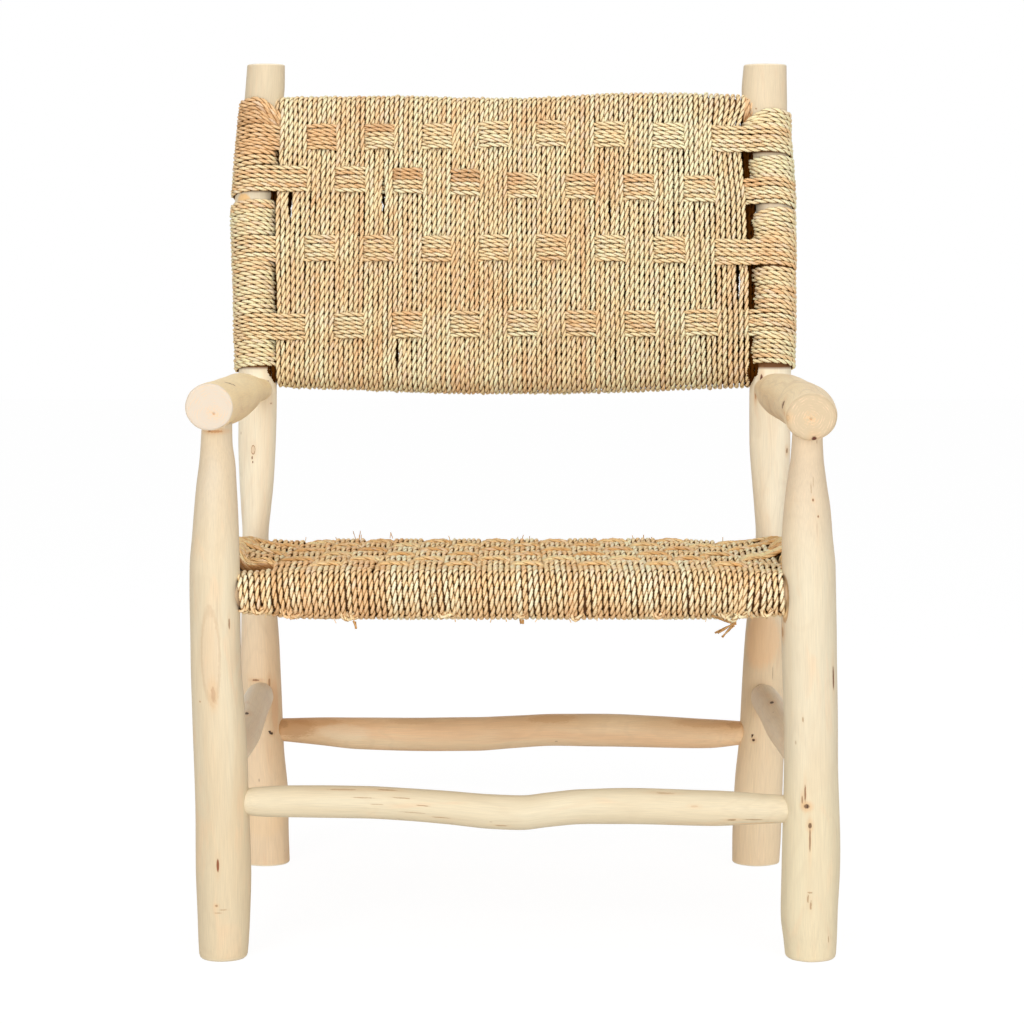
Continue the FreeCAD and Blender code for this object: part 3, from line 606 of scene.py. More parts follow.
frontStretcher = {
    **stretcherKind, "node": "front_stretcher", "slot": "pale_wood", "from": (-257, -321.9, 146),
    "to": (264.5, -322.4, 146), "girth": 34, "seed": 34.4, "step": 3.5, "rows": [
        (0, 0.13, 0, 0.7, 0.74), (0.03, 0.13, 0, 0.84, 0.86), (0.09, 0.135, 0.02, 0.9, 0.92),
        (0.22, 0.115, 0.04, 0.91, 0.95), (0.3, 0.055, 0.03, 0.91, 0.95), (0.375, -0.035, 0.02, 0.93, 0.96),
        (0.455, -0.15, 0.01, 0.97, 0.97), (0.51, -0.18, 0, 0.98, 0.98), (0.56, -0.09, -0.02, 0.98, 0.98),
        (0.62, 0, -0.03, 0.98, 0.98), (0.7, 0.02, -0.03, 1.01, 1), (0.86, -0.05, -0.02, 0.99, 0.97),
        (0.92, -0.06, -0.01, 0.9, 0.9), (0.955, -0.07, -0.01, 0.83, 0.85), (1, -0.07, 0, 0.76, 0.76),
    ], "look": look(paleLook, 38.8, light=(0.77, 0.665, 0.47), warm=(0.74, 0.58, 0.36), warmth=0.35),
    "marks": [
        (488, -150, (2, 2, 30), 0.7, (0.82, 0.5, 0.25), 0.5),
        (116, -64, (0.55, 1.4, 11), 1.3, fineCrack, 0.65, 0.05),
        (96, -30, (0.8, 1.4, 15), 1.2, fineCrack, 0.6, 0.15),
        (130, -86, (0.5, 1.2, 7), 1.4, fineCrack, 0.6),
        (137, -25, (0.9, 1.4, 10), 1.3, fineCrack, 0.65, 0.2),
        (153, -58, (0.6, 1.4, 9), 1.3, fineCrack, 0.7, 0.05),
        (172, -80, (0.6, 1.4, 8), 1.3, fineCrack, 0.75, 0.05),
        (163, -108, (0.5, 1.2, 12), 1.3, fineCrack, 0.6),
        (189, -119, (0.6, 1.2, 9), 1.2, fineCrack, 0.7, 0.05),
        (247, -130, (0.7, 1.2, 6), 1.4, fineCrack, 0.7, 0.15),
        (402, -30, (1.1, 1.4, 9), 1.3, fineCrack, 0.5, 0.2),
        (466, -122, (0.9, 1.4, 5), 1, darkCrack, 0.85, 0.2),
        (487, -124, (0.6, 1.4, 11), 0.9, darkCrack, 0.75, 0.1),
        (430, -75, (1.2, 1, 3.5), 0.8, (0.62, 0.42, 0.25), 0.6, 0.15),
    ],
}
rearStretcher = {
    **stretcherKind, "node": "rear_stretcher", "slot": "tan_wood", "from": (-259.8, 157.6, 143),
    "to": (257.9, 156.8, 143), "girth": 35, "seed": 41.2, "step": 4, "rows": [
        (0, 0.03, 0, 0.72, 0.74), (0.09, -0.03, 0.01, 0.9, 0.9), (0.17, -0.1, 0.03, 1.01, 1),
        (0.3, -0.125, 0.03, 1.07, 1.03), (0.42, -0.115, 0.03, 1.08, 1.04), (0.5, -0.045, 0.01, 1.05, 1.02),
        (0.6, 0.02, 0, 1.02, 1), (0.7, 0.015, -0.02, 1.05, 1.02), (0.82, -0.045, -0.01, 1.01, 0.98),
        (0.93, -0.09, 0, 0.92, 0.88), (1, -0.07, 0, 0.74, 0.76),
    ], "look": look(tanLook, 44.6, light=(1.05, 0.82, 0.535), warm=(1.02, 0.69, 0.41), warmth=0.9),
    "marks": [
        (16, -62, (13, 13, 26), 0.9, (0.55, 0.26, 0.1), 0.55, 0.4),
        (40, -35, (6, 8, 30), 0.9, (0.6, 0.3, 0.12), 0.4, 0.3),
        (72, -80, (10, 10, 30), 0.9, (1, 0.86, 0.64), 0.3),
        (305, -35, (6, 8, 28), 0.9, softSmear, 0.4, 0.35),
        (150, -30, (4, 7, 30), 0.9, softSmear, 0.3, 0.25),
        (474, -36, (6, 8, 38), 0.9, (0.62, 0.33, 0.14), 0.4, 0.4),
        (508, -40, (5, 6, 9), 1.3, (0.52, 0.27, 0.12), 0.45, 0.4),
        (5, -50, (5, 5, 5), 1.3, (0.45, 0.23, 0.1), 0.4, 0.4),
    ],
}
sideStretcherLeft = {
    **sideStretcherKind, "node": "side_stretcher_left", "from": (-277.1, -302.6, 179),
    "to": (-279.8, 146.6, 179), "seed": 47.1, "rows": [
        (0, 0, 0.05, 0.78, 0.78), (0.2, 0.02, 0.01, 0.92, 0.92), (0.5, 0.03, -0.05, 1, 1),
        (0.8, 0, 0.19, 0.98, 0.96), (0.94, 0, 0.2, 0.94, 0.94), (1, 0, 0.2, 0.8, 0.8),
    ], "look": look(tanLook, 52, light=(0.97, 0.84, 0.64), warm=(0.9, 0.7, 0.48)),
    "marks": [(250, 89, (2.6, 2.4, 6.5), 0.6, blackHole, 1, 0.35)],
}
sideStretcherRight = {
    **sideStretcherKind, "node": "side_stretcher_right", "from": (284.8, -302.3, 179),
    "to": (279.5, 146.3, 179), "seed": 55.5, "rows": [
        (0, 0, 0.05, 0.78, 0.78), (0.2, 0.02, 0.01, 0.92, 0.92), (0.5, 0.03, -0.05, 1, 1),
        (0.8, 0, 0.14, 0.98, 0.96), (0.94, 0, 0.15, 0.94, 0.94), (1, 0, 0.15, 0.8, 0.8),
    ], "look": look(tanLook, 58.3, light=(0.95, 0.8, 0.58), warm=(0.88, 0.66, 0.43)), "marks": [
        (310, 106, (2.3, 2.2, 5.5), 0.5, blackHole, 1, 0.35),
        (446, 112, (7, 3, 2.5), 0.7, (0.3, 0.17, 0.09), 0.9, 0.2),
    ],
}
sideSeatRailLeft = {
    "node": "side_seat_rail_left", "slot": "pale_wood", "from": (-281.4, -305, 375),
    "to": (-288.6, 186.7, 340), "across": acrossChair, "deep": upwards, "girth": 32, "seed": 61.1,
    "sides": 32, "step": 8, "covered": ((8, 490),), "rows": [
        (0, 0, 0, 0.7, 0.7), (0.12, 0.03, 0.01, 0.92, 0.92), (0.5, 0, 0, 1, 1), (0.88, -0.02, 0, 0.9, 0.9),
        (1, 0, 0, 0.64, 0.64),
    ], "look": look(tanLook, 63),
}
sideSeatRailRight = {
    **sideSeatRailLeft, "node": "side_seat_rail_right", "from": (280.7, -304, 375),
    "to": (289.7, 186.6, 340), "seed": 66.6,
}
frontSeatRail = {
    **railKind, "node": "front_seat_rail", "from": (-263.7, -323.8, 350.5), "to": (262, -323.3, 350.5),
    "girth": 40, "seed": 70.3, "covered": ((5, 521),), "rows": roundRows(
        (0, 0, 0.6), (0.012, 0, 0.7), (0.05, 0, 0.75), (0.11, 0, 0.93), (0.3, 0, 0.97), (0.7, 0, 0.97),
        (0.88, 0, 0.95), (0.96, 0, 0.85), (0.985, 0, 0.82), (1, 0, 0.6)
    ), "look": look(tanLook, 73),
}
rearSeatRail = {
    **railKind, "node": "rear_seat_rail", "from": (-276.3, 197.2, 330), "to": (276.4, 197.2, 330),
    "girth": 40, "seed": 76.3, "covered": ((8, 545),), "rows": roundRows(
        (0, -0.27, 0.54), (0.08, -0.16, 0.8), (0.2, -0.03, 0.96), (0.5, 0, 1), (0.8, -0.04, 0.98),
        (0.92, -0.17, 0.8), (1, -0.27, 0.54)
    ), "look": look(tanLook, 79),
}
backBottomRail = {
    **railKind, "node": "back_bottom_rail", "from": (-276, 251.6, 541), "to": (279.4, 251.6, 541),
    "girth": 31, "seed": 82.3, "covered": ((2, 550),), "rows": roundRows(
        (0, 0, 0.75), (0.1, 0, 0.95), (0.3, -0.11, 1), (0.5, -0.16, 1), (0.7, -0.12, 1), (0.9, 0, 0.97),
        (1, 0, 0.75)
    ), "look": look(tanLook, 84),
}
backTopRail = {
    **backBottomRail, "node": "back_top_rail", "from": (-275.1, 326.6, 840), "to": (276.7, 326.6, 840),
    "seed": 88.8, "rows": roundRows(
        (0, 0, 0.75), (0.1, -0.1, 0.95), (0.25, -0.09, 1), (0.45, -0.17, 1), (0.6, -0.13, 1), (0.72, 0, 1),
        (0.9, 0.02, 0.97), (1, 0.02, 0.75)
    ),
}

poles = {}
for name, spec in (
        ("frontLegLeft", frontLegLeft), ("frontLegRight", frontLegRight), ("rearPostLeft", rearPostLeft),
        ("rearPostRight", rearPostRight), ("armLeft", armLeft), ("armRight", armRight),
        ("frontStretcher", frontStretcher), ("rearStretcher", rearStretcher),
        ("sideStretcherLeft", sideStretcherLeft), ("sideStretcherRight", sideStretcherRight),
        ("sideSeatRailLeft", sideSeatRailLeft), ("sideSeatRailRight", sideSeatRailRight),
        ("frontSeatRail", frontSeatRail), ("rearSeatRail", rearSeatRail),
        ("backBottomRail", backBottomRail), ("backTopRail", backTopRail)):
    poles[name] = Pole(spec)
    buildPole(name, poles[name])
print("poles built:", len(poles))


# Twisted cord

cord = {
    "diameter": 5.4, "girth": 6.02, "lay": 20.5, "step": 2.62, "valley": 0.54, "wobble": 0.5, "seed": 11,
}


def readAttribute(tree, name, kind="FLOAT"):
    return addNode(tree, "GeometryNodeInputNamedAttribute", {"Name": name}, data_type=kind).outputs["Attribute"]


def storeAttribute(tree, geometry, name, value, kind="FLOAT"):
    inputs = {"Geometry": geometry, "Name": name, "Value": value}
    return newNode(tree, "GeometryNodeStoreNamedAttribute", inputs, data_type=kind, domain="POINT")


def scaled(vector, share):
    return newNode(treeOf(vector), "ShaderNodeVectorMath", {0: vector, "Scale": share}, operation="SCALE")


def makeTwistedCord():
    # Turns the edges of a mesh into two-ply cord. The section is two lobes with a valley between
    # them, and the curve's tilt turns it once in each lay.
    tree, given, end = newGroup("twistedCord", {
        "Geometry": ("Geometry",), "Float": ("Cord Radius", "Lay Length", "Step", "Valley", "Wobble", "Seed"),
        "Material": ("Material",),
    }, {"Geometry": ("Geometry",)}, "GeometryNodeTree")
    curve = newNode(tree, "GeometryNodeMeshToCurve", {"Mesh": given["Geometry"]})
    curve = newNode(tree, "GeometryNodeCurveSplineType", {"Curve": curve}, spline_type="CATMULL_ROM")
    curve = newNode(tree, "GeometryNodeResampleCurve", {"Curve": curve, "Length": given["Step"]}, mode="LENGTH")
    here = newNode(tree, "GeometryNodeInputPosition")
    inputs = {"Vector": here, "W": given["Seed"], "Scale": 70.0, "Detail": 1.0}
    shake = addNode(tree, "ShaderNodeTexNoise", inputs, noise_dimensions="4D").outputs["Color"]
    shake = vectorNode("SUBTRACT", shake, (0.5, 0.5, 0.5))
    shake = scaled(shake, times(given["Wobble"], 4.0))
    curve = newNode(tree, "GeometryNodeSetPosition", {"Geometry": curve, "Offset": shake})
    # A whole number of turns closes each loop without a jolt
    length = addNode(tree, "GeometryNodeSplineLength").outputs["Length"]
    turns = mathNode("ROUND", mathNode("DIVIDE", length, given["Lay Length"]))
    parameter = addNode(tree, "GeometryNodeSplineParameter").outputs
    tilt = times(times(parameter["Factor"], turns), 2 * math.pi)
    tilt = plus(tilt, readAttribute(tree, "phase"))
    curve = newNode(tree, "GeometryNodeSetCurveTilt", {"Curve": curve, "Tilt": tilt})
    thick = readAttribute(tree, "thick")
    curve = newNode(tree, "GeometryNodeSetCurveRadius", {"Curve": curve, "Radius": thick})
    curve = storeAttribute(tree, curve, "along", parameter["Length"])
    curve = storeAttribute(tree, curve, "heart", here, "FLOAT_VECTOR")
    # The two lobes
    ring = newNode(tree, "GeometryNodeCurvePrimitiveCircle", {"Resolution": 8, "Radius": given["Cord Radius"]})
    sides = vectorNode("DIVIDE", here, given["Cord Radius"])
    crest = mathNode("ABSOLUTE", splitXYZ(sides)[0])
    shape = plus(times(crest, minus(1.0, given["Valley"])), given["Valley"])
    ring = storeAttribute(tree, ring, "crest", crest)
    ring = storeAttribute(tree, ring, "fibre", sides, "FLOAT_VECTOR")
    ring = newNode(tree, "GeometryNodeSetPosition", {"Geometry": ring, "Position": scaled(here, shape)})
    skin = newNode(tree, "GeometryNodeCurveToMesh", {
        "Curve": curve, "Profile Curve": ring, "Scale": thick, "Fill Caps": True})
    # How far each point of the skin stands out of the weave, from -1 to 1
    aside = vectorNode("SUBTRACT", here, readAttribute(tree, "heart", "FLOAT_VECTOR"))
    rise = addNode(tree, "ShaderNodeVectorMath", {0: aside, 1: readAttribute(tree, "out", "FLOAT_VECTOR")},
                   operation="DOT_PRODUCT").outputs["Value"]
    skin = storeAttribute(tree, skin, "rise", mathNode("DIVIDE", rise, given["Cord Radius"]))
    for spare in ("heart", "out", "phase", "thick"):
        skin = newNode(tree, "GeometryNodeRemoveAttribute", {"Geometry": skin, "Name": spare})
    skin = newNode(tree, "GeometryNodeSetShadeSmooth", {"Geometry": skin})
    skin = newNode(tree, "GeometryNodeRealizeInstances", {"Geometry": skin})
    skin = newNode(tree, "GeometryNodeSetMaterial", {"Geometry": skin, "Material": given["Material"]})
    setInputs(end, {"Geometry": skin})
    return tree


def makePalmFibre():
    tree, given, end = newGroup("palmFibre", {
        "Vector": ("Fibre", "Place"), "Float": ("Along", "Crest", "Rise", "Tint", "Lift"),
        "Color": ("Straw", "Tan", "Pale"),
    }, lookOutputs)
    tint = given["Tint"]
    sides = splitXYZ(given["Fibre"])
    shifted = plus(given["Along"], times(tint, 37.0))
    plyShift = times(remap(sides[0], -0.05, 0.05), 5.3)
    # Each ply changes leaf every few centimetres
    leaf = noiseValue(joinXYZ(times(shifted, 24.0), plyShift, tint), 1.0, 3.0, 0.65)
    fine = joinXYZ(times(sides[0], 5.0), times(sides[1], 5.0), times(shifted, 110.0))
    streak = noiseValue(fine, 1.0, 3.0, 0.75)
    area = noiseValue(given["Place"], 13.0, 2.0, 0.5)
    tone = plus(times(leaf, 0.9), times(tint, 0.5))
    tone = plus(tone, times(minus(area, 0.5), 0.8))
    colour = mixColour(ease(tone, 0.6, 0.95), given["Straw"], given["Tan"])
    colour = mixColour(ease(tone, 0.66, 0.42, 0.0, 0.9), colour, given["Pale"])
    # Here and there a faded, pinkish leaf
    faded = noiseValue(joinXYZ(times(shifted, 31.0), plyShift, area), 1.0, 2.0, 0.6)
    colour = mixColour(ease(faded, 0.5, 0.68, 0.0, 0.6), colour, (0.97, 0.78, 0.58))
    brown = times(remap(tint, 1.0, 1.6, 0.0, 0.9), remap(leaf, 0.25, 0.6, 0.45, 1.0))
    colour = mixColour(brown, colour, (0.46, 0.22, 0.085))
    streakTone = remap(streak, 0.3, 0.7, 0.74, 1.28)
    colour = mixColour(1.0, colour, greyOf(streakTone), "MULTIPLY")
    # Painted shade, with some dirt, where two plies meet and where one cord leans on the next: the less a point
    # stands out of the weave, the darker, and the offset moves this per material
    rise = plus(given["Rise"], given["Lift"])
    colour = mixColour(ease(rise, 0.5, -0.05, 0.0, 0.7), colour, (0.66, 0.37, 0.13))
    grooveShade = ease(given["Crest"], 0.05, 0.44, 0.84, 0.0)
    colour = mixColour(grooveShade, colour, (0.28, 0.105, 0.022))
    # Painted shade: nearly black deep in the weave, and on cords tinted past 1.7
    deep = mathNode("MAXIMUM", ease(rise, 0.05, -0.3), remap(tint, 1.7, 2.4))
    colour = mixColour(deep, colour, (0.07, 0.021, 0.002))
    setInputs(end, {"Color": colour, "Roughness": remap(streak, 0.3, 0.7, 0.62, 0.82), "Height": streak})
    return tree


twistedCord = makeTwistedCord()
palmFibre = makePalmFibre()


def cordMaterial(name, straw, tan, pale, lift=0.0):
    material, tree, shader = newMaterial(name)
    inputs = {"Fibre": attributeOf(tree, "fibre", "Vector"), "Lift": lift, "Straw": (*straw, 1),
              "Tan": (*tan, 1), "Pale": (*pale, 1), "Place": objectPlace(tree)}
    for title in ("Along", "Crest", "Rise", "Tint"):
        inputs[title] = attributeOf(tree, title.lower())
    palm = addNode(tree, "ShaderNodeGroup", inputs, node_tree=palmFibre).outputs
    setInputs(shader, {"Base Color": palm["Color"], "Roughness": palm["Roughness"],
                       "Normal": bumpOf(palm["Height"], 0.6, 0.0005), "Specular IOR Level": 0.0})
    return material


# The last number shifts the painted shade at the cords' sides: below 0 darker, above 0 lighter
warpPalm = cordMaterial("warpPalm", (1.0, 0.82, 0.49), (0.95, 0.63, 0.34), (1.0, 0.95, 0.64))
weftPalm = cordMaterial("weftPalm", (1.0, 0.82, 0.49), (0.94, 0.61, 0.32), (1.0, 0.95, 0.64))
wrapPalm = cordMaterial("wrapPalm", (1.0, 0.82, 0.49), (0.97, 0.64, 0.34), (1.0, 0.93, 0.6), 0.12)
rollPalm = cordMaterial("rollPalm", (1.0, 0.77, 0.44), (0.93, 0.59, 0.3), (1.0, 0.95, 0.67), -0.14)
seatPalm = cordMaterial("seatPalm", (1.0, 0.72, 0.37), (0.83, 0.48, 0.2), (1.0, 0.88, 0.51), 0.14)


def outwardOf(points, axis):
    # The direction away from the loop's middle, square to the cord
    middle = sum(points, Vector()) / len(points)
    outs = []
    for i in range(len(points)):
        along = points[(i + 1) % len(points)] - points[i - 1]
        outs.append(axis.cross(along).normalized())
    facing = sum(out.dot(point - middle) for out, point in zip(outs, points))
    return outs if facing > 0 else [-out for out in outs]


def buildCords(name, node, paths, material, girth=1.0):
    # paths: points in mm, the loop's axis or None for a loose end, tint or a function of the point
    rolls = random.Random(cord["seed"] + len(name) * 7)
    verts, edges, tints, phases, thicks, outs = [], [], [], [], [], []
    for points, axis, tint in paths:
        first = len(verts)
        phase = rolls.uniform(0, 2 * math.pi)
        size = girth * rolls.uniform(0.96, 1.05)
        outs += outwardOf(points, axis) if axis else [-intoChair] * len(points)
        verts += [point * mm for point in points]
        tints += [tint(point) if callable(tint) else tint for point in points]
        phases += [phase] * len(points)
        thicks += [size] * len(points)
        edges += [(i, i + 1) for i in range(first, len(verts) - 1)]
        if axis:
            edges.append((len(verts) - 1, first))
    mesh = bpy.data.meshes.new(name + "Route")
    mesh.from_pydata(verts, edges, [])
    for title, values in (("tint", tints), ("phase", phases), ("thick", thicks)):
        mesh.attributes.new(title, "FLOAT", "POINT").data.foreach_set("value", values)
    out = mesh.attributes.new("out", "FLOAT_VECTOR", "POINT")
    out.data.foreach_set("vector", [value for way in outs for value in way])
    route = addObject(name + "Route", mesh)
    modifier = route.modifiers.new("twist", "NODES")
    modifier.node_group = twistedCord
    settings = {
        "Cord Radius": cord["girth"] / 2 * mm, "Lay Length": cord["lay"] * mm, "Step": cord["step"] * mm,
        "Valley": cord["valley"], "Wobble": cord["wobble"] * mm, "Seed": float(cord["seed"]), "Material": material,
    }
    for item in twistedCord.interface.items_tree:
        if item.in_out == "INPUT" and item.name in settings:
            modifier[item.identifier] = settings[item.name]
    result = bpy.data.meshes.new_from_object(route.evaluated_get(bpy.context.evaluated_depsgraph_get()))
    route.modifiers.clear()
    bpy.data.objects.remove(route)
    result.name = name
    addPiece(name, result, node)
    print(name, "cords", len(paths), "faces", len(result.polygons))


# For both panels: how far a cord leans aside between the faces and the far face spreads, how long a
# route's steps are, how soon a cord is back at rest beside a row, and how far cords stand out of a
# plain far face. A band is gathered a little where it passes over a row and more where it passes
# under. The face is drawn up towards side poles from one place on, over a length. Outer bands lean
# within edgeReach bands. Sway, slope and wander are the most that chance adds.
weave = {
    "slant": 1.4, "splay": 0.011, "routeStep": 16, "margin": 4, "plainWarp": -2.4, "plainWeft": 3,
    "gatherOver": 0.3, "gatherUnder": 1.8, "drawnFrom": 50, "drawnOver": 110, "edgeReach": 1.6,
    "partingWidth": 7, "turnPoints": 14, "sway": 0.4, "slope": 0.7, "wander": 0.35, "halfCrossing": 0.28,
    "bendPlaces": (-230, -90, 30, 150, 235, 271),
}
cordRadius = cord["diameter"] / 2


class Panel:
    # A woven panel between two rails: x across, s from the first rail to the second, n outwards
    def __init__(self, spec):
        self.spec = spec
        self.first, self.second = poles[spec["rails"][0]], poles[spec["rails"][1]]
        self.sides = [poles[name] for name in spec["sides"]]
        self.origin = self.first.start + self.first.line / 2
        self.origin.x = 0
        far = self.second.start + self.second.line / 2
        far.x = 0
        self.length = (far - self.origin).length
        self.sAxis = (far - self.origin) / self.length
        self.nAxis = acrossChair.cross(self.sAxis)
        self.left, self.right = spec["span"]
        self.pitch = (self.right - self.left) / spec["bands"]
        self.random = random.Random(spec["seed"])
        self.edges = [steadyCurve(*zip(*spec["edges"][which])) for which in (0, 1)]
        self.rises = [steadyCurve(*zip(*spec["rises"][which])) for which in (0, 1)]
        self.drift = steadyCurve(*zip(*spec["drift"]))

    def chance(self, reach):
        return self.random.uniform(-reach, reach)

    def place(self, x, s, n):
        return self.origin + acrossChair * x + self.sAxis * s + self.nAxis * n

    def railAt(self, which, x):
        # The centre in s and n and the radius of a rail at x, with the lie of the cords on it
        rail = (self.first, self.second)[which]
        share = (x - rail.start.x) / rail.line.x
        heart = rail.heart(share) - self.origin
        radius = sum(rail.radii(share)) / 2
        return heart.dot(self.sAxis), heart.dot(self.nAxis) + self.rises[which](x), radius

    def sideAt(self, which, s):
        # The centre and radii of a side pole at s, in x and n
        pole = self.sides[which]
        low = (pole.start - self.origin).dot(self.sAxis)
        high = (pole.start + pole.line - self.origin).dot(self.sAxis)
        share = (s - low) / (high - low)
        heart = pole.heart(share) - self.origin
        return heart.x, heart.dot(self.nAxis), *pole.radii(share)

    def levelAt(self, x, s, side):
        # The face's plane under the cords, drawn up towards the side poles where they stand higher
        s0, n0, r0 = self.railAt(0, x)
        s1, n1, r1 = self.railAt(1, x)
        share = min(max((s - s0) / (s1 - s0), 0), 1)
        level = n0 + (n1 - n0) * share + side * (r0 + (r1 - r0) * share)
        if side > 0 and self.spec["drawn"]:
            which = 0 if x < 0 else 1
            hx, hn, ru, rv = self.sideAt(which, s)
            over = max(hn + rv - level, 0)
            reach = (abs(hx) - abs(x)) / self.spec["drawn"]
            window = min(max((s - weave["drawnFrom"]) / weave["drawnOver"], 0), 1)
            level += over * max(0, 1 - reach) ** 1.3 * window
        return level

    def sideways(self, x, s):
        # The lean of the outer bands and the partings between cords
        shift = self.drift(x)
        for which, edge in ((0, self.left), (1, self.right)):
            near = 1 - abs(x - edge) / (self.pitch * weave["edgeReach"])
            if near > 0:
                shift += self.edges[which](s) * near
        for px, ps, half, width in self.spec["partings"]:
            far = abs(s - ps) / half
            if far < 1:
                fade = math.exp(-((x - px) / weave["partingWidth"]) ** 2)
                shift += math.copysign(width, x - px) * fade * (1 - far ** 2)
        return x + shift

    def rowCentre(self, row, x):
        share = (x - self.left) / (self.right - self.left)
        bend = steadyCurve(weave["bendPlaces"], row[4])(x) if len(row) > 4 else 0
        return row[1] + (row[2] - row[1]) * share + bend

    def crosses(self, row, band):
        # True where the row passes over the band on the near face
        return (row[3] + band) % 2 == 0

    def warpFace(self, band, inBand, x, side):
        # One face of a band's cord, from the first rail to the second
        spec = self.spec
        stops = [(self.railAt(0, x)[0], cordRadius, 0.0)]
        for row in spec["rows"]:
            s = self.rowCentre(row, x)
            breadth = row[0] * spec["rowPitch"] / 2
            over = not self.crosses(row, band)
            lift = spec["over"] if over else spec["under"]
            if side < 0 and spec["plainFar"]:
                lift = weave["plainWarp"]
            gather = -inBand * weave["gatherOver" if over else "gatherUnder"]
            rest = (spec["rest"], gather * 0.15)
            stops += [(s - breadth - weave["margin"], *rest), (s - breadth * 0.5, lift, gather),
                      (s + breadth * 0.5, lift, gather), (s + breadth + weave["margin"], *rest)]
        stops.append((self.railAt(1, x)[0], cordRadius, 0.0))
        face = []
        for (sA, liftA, gatherA), (sB, liftB, gatherB) in zip(stops, stops[1:]):
            count = max(1, round((sB - sA) / weave["routeStep"]))
            for step in range(count):
                part = step / count
                s = sA + (sB - sA) * part
                lift = liftA + (liftB - liftA) * part
                sway = self.chance(weave["sway"]) if 0 < s < self.length else 0
                gather = gatherA + (gatherB - gatherA) * part
                place = self.sideways(x + gather + sway, s) - weave["slant"] * side
                if side < 0:
                    place += x * weave["splay"]
                face.append((place, s, self.levelAt(x, s, side) + side * lift))
        return face

    def warpCord(self, band, number):
        inBand = (number + 0.5) / self.spec["cordsInBand"] - 0.5
        x = self.left + (band + 0.5 + inBand) * self.pitch
        near, far = [self.warpFace(band, inBand, x, side) for side in (1, -1)]
        lift = self.random.uniform(-0.5, 0.7)
        drag = self.chance(1) * self.spec["skew"]
        drag += sum(width * math.exp(-((x - place) / reach) ** 2) for place, reach, width in self.spec["drags"])
        turns = []
        for which, bends in ((1, ((90, 0), (55, 0), (18, 0), (-18, 0), (-55, 0), (-90, 0))),
                             (0, ((-125, 1), (-162, 0.7), (162, 0.25), (125, 0)))):
            # Round a rail. Below the first one the cord is dragged aside.
            heartS, heartN, thick = self.railAt(which, x)
            reach = thick + cordRadius + lift
            turn = []
            for angle, low in bends:
                outwards = math.sin(math.radians(angle))
                aside = x + self.drift(x) + drag * low - weave["slant"] * outwards
                turn.append((aside, heartS + reach * math.cos(math.radians(angle)), heartN + reach * outwards))
            turns.append(turn)
        # The loop starts on the far face, where its seam doesn't show
        far = far[::-1]
        cut = len(far) // 2
        loop = far[cut:] + turns[1] + near + turns[0] + far[:cut]
        return [self.place(*point) for point in loop]

    def offSide(self, which, point, side):
        # Where a cord from a point first touches the turns of a side pole
        x, s, n = point
        hx, hn, ru, rv = self.sideAt(which, s)
        reach = (ru + rv) / 2 + cordRadius
        dx, dn = hx - x, hn - n
        lean = math.acos(min(1, reach / math.hypot(dx, dn)))
        angle = math.atan2(-dn, -dx) + lean * side * (1 if dx < 0 else -1)
        return angle, hx, hn, reach

    def weftFace(self, row, number, side):
        # One face of a row's cord, from the left edge to the right
        spec = self.spec
        offset = (number + 0.5 - row[0] / 2) * spec["rowPitch"]
        face = []
        for band in range(spec["bands"]):
            centre = self.left + (band + 0.5) * self.pitch
            s = self.rowCentre(row, centre) + offset
            if side < 0 and spec["plainFar"]:
                if band % 3 == 1:
                    face.append((centre, s, self.levelAt(centre, s, side) + side * weave["plainWeft"]))
                continue
            lift = spec["over"] + spec["weftRise"] if self.crosses(row, band) else spec["under"]
            slope = self.chance(weave["slope"])
            wander = self.chance(weave["wander"])
            for part in (-weave["halfCrossing"], weave["halfCrossing"]):
                place = centre + part * self.pitch
                level = self.levelAt(place, s, side) + side * lift
                face.append((self.sideways(place, s), s + wander + slope * part, level))
        return face

    def weftCord(self, row, number):
        spec = self.spec
        faces, ends = [], []
        for side in (1, -1):
            face = self.weftFace(row, number, side)
            touches = [self.offSide(0, face[0], side), self.offSide(1, face[-1], side)]
            for index, (angle, hx, hn, reach) in ((0, touches[0]), (-1, touches[1])):
                out = (hx + reach * math.cos(angle), face[index][1], hn + reach * math.sin(angle))
                face.insert(0 if index == 0 else len(face), out)
            if side > 0 and row is spec["rows"][0]:
                edge, pile = spec["pile"]
                face = [(x, s, n + (pile * number if x < edge else 0)) for x, s, n in face]
            faces.append(face)
            ends.append(touches)
        loop = list(faces[0])
        for which, before, after in ((1, ends[0][1], ends[1][1]), (0, ends[1][0], ends[0][0])):
            s = loop[-1][1]
            turn, hx, hn, reach = before
            last = after[0]
            while last > turn:
                last -= 2 * math.pi
            lean = spec["lean"] * (1 if which == 0 else -1)
            for step in range(1, 5):
                angle = turn + (last - turn) * step / 5
                fall = lean * (math.cos(angle) - math.cos(turn))
                loop.append((hx + reach * math.cos(angle), s + fall, hn + reach * math.sin(angle)))
            if which == 1:
                loop += faces[1][::-1]
        cut = len(faces[0]) + 4 + len(faces[1]) // 2
        loop = loop[cut:] + loop[:cut]
        return [self.place(*point) for point in loop]

    def sideTurn(self, which, s, fall=0.0, tilt=0.0, bulge=0.0):
        # One turn of cord round a side pole. Its inner end falls by a given height.
        hx, hn, ru, rv = self.sideAt(which, s)
        inner = 1 if which == 0 else -1
        ring = []
        for step in range(weave["turnPoints"]):
            angle = 2 * math.pi * step / weave["turnPoints"] - math.pi * 0.45
            inside = math.cos(angle) * inner
            drop = tilt * inside - fall * max(0, inside + 0.15) ** 1.6
            out = cordRadius + (bulge + (1.2 if fall > 4 else 0.0)) * max(0, inside) ** 3
            x, n = hx + (ru + out) * math.cos(angle), hn + (rv + out) * math.sin(angle)
            ring.append(self.place(x, s + drop, n))
        return ring

    def freeTurns(self, which, low, high, slits=()):
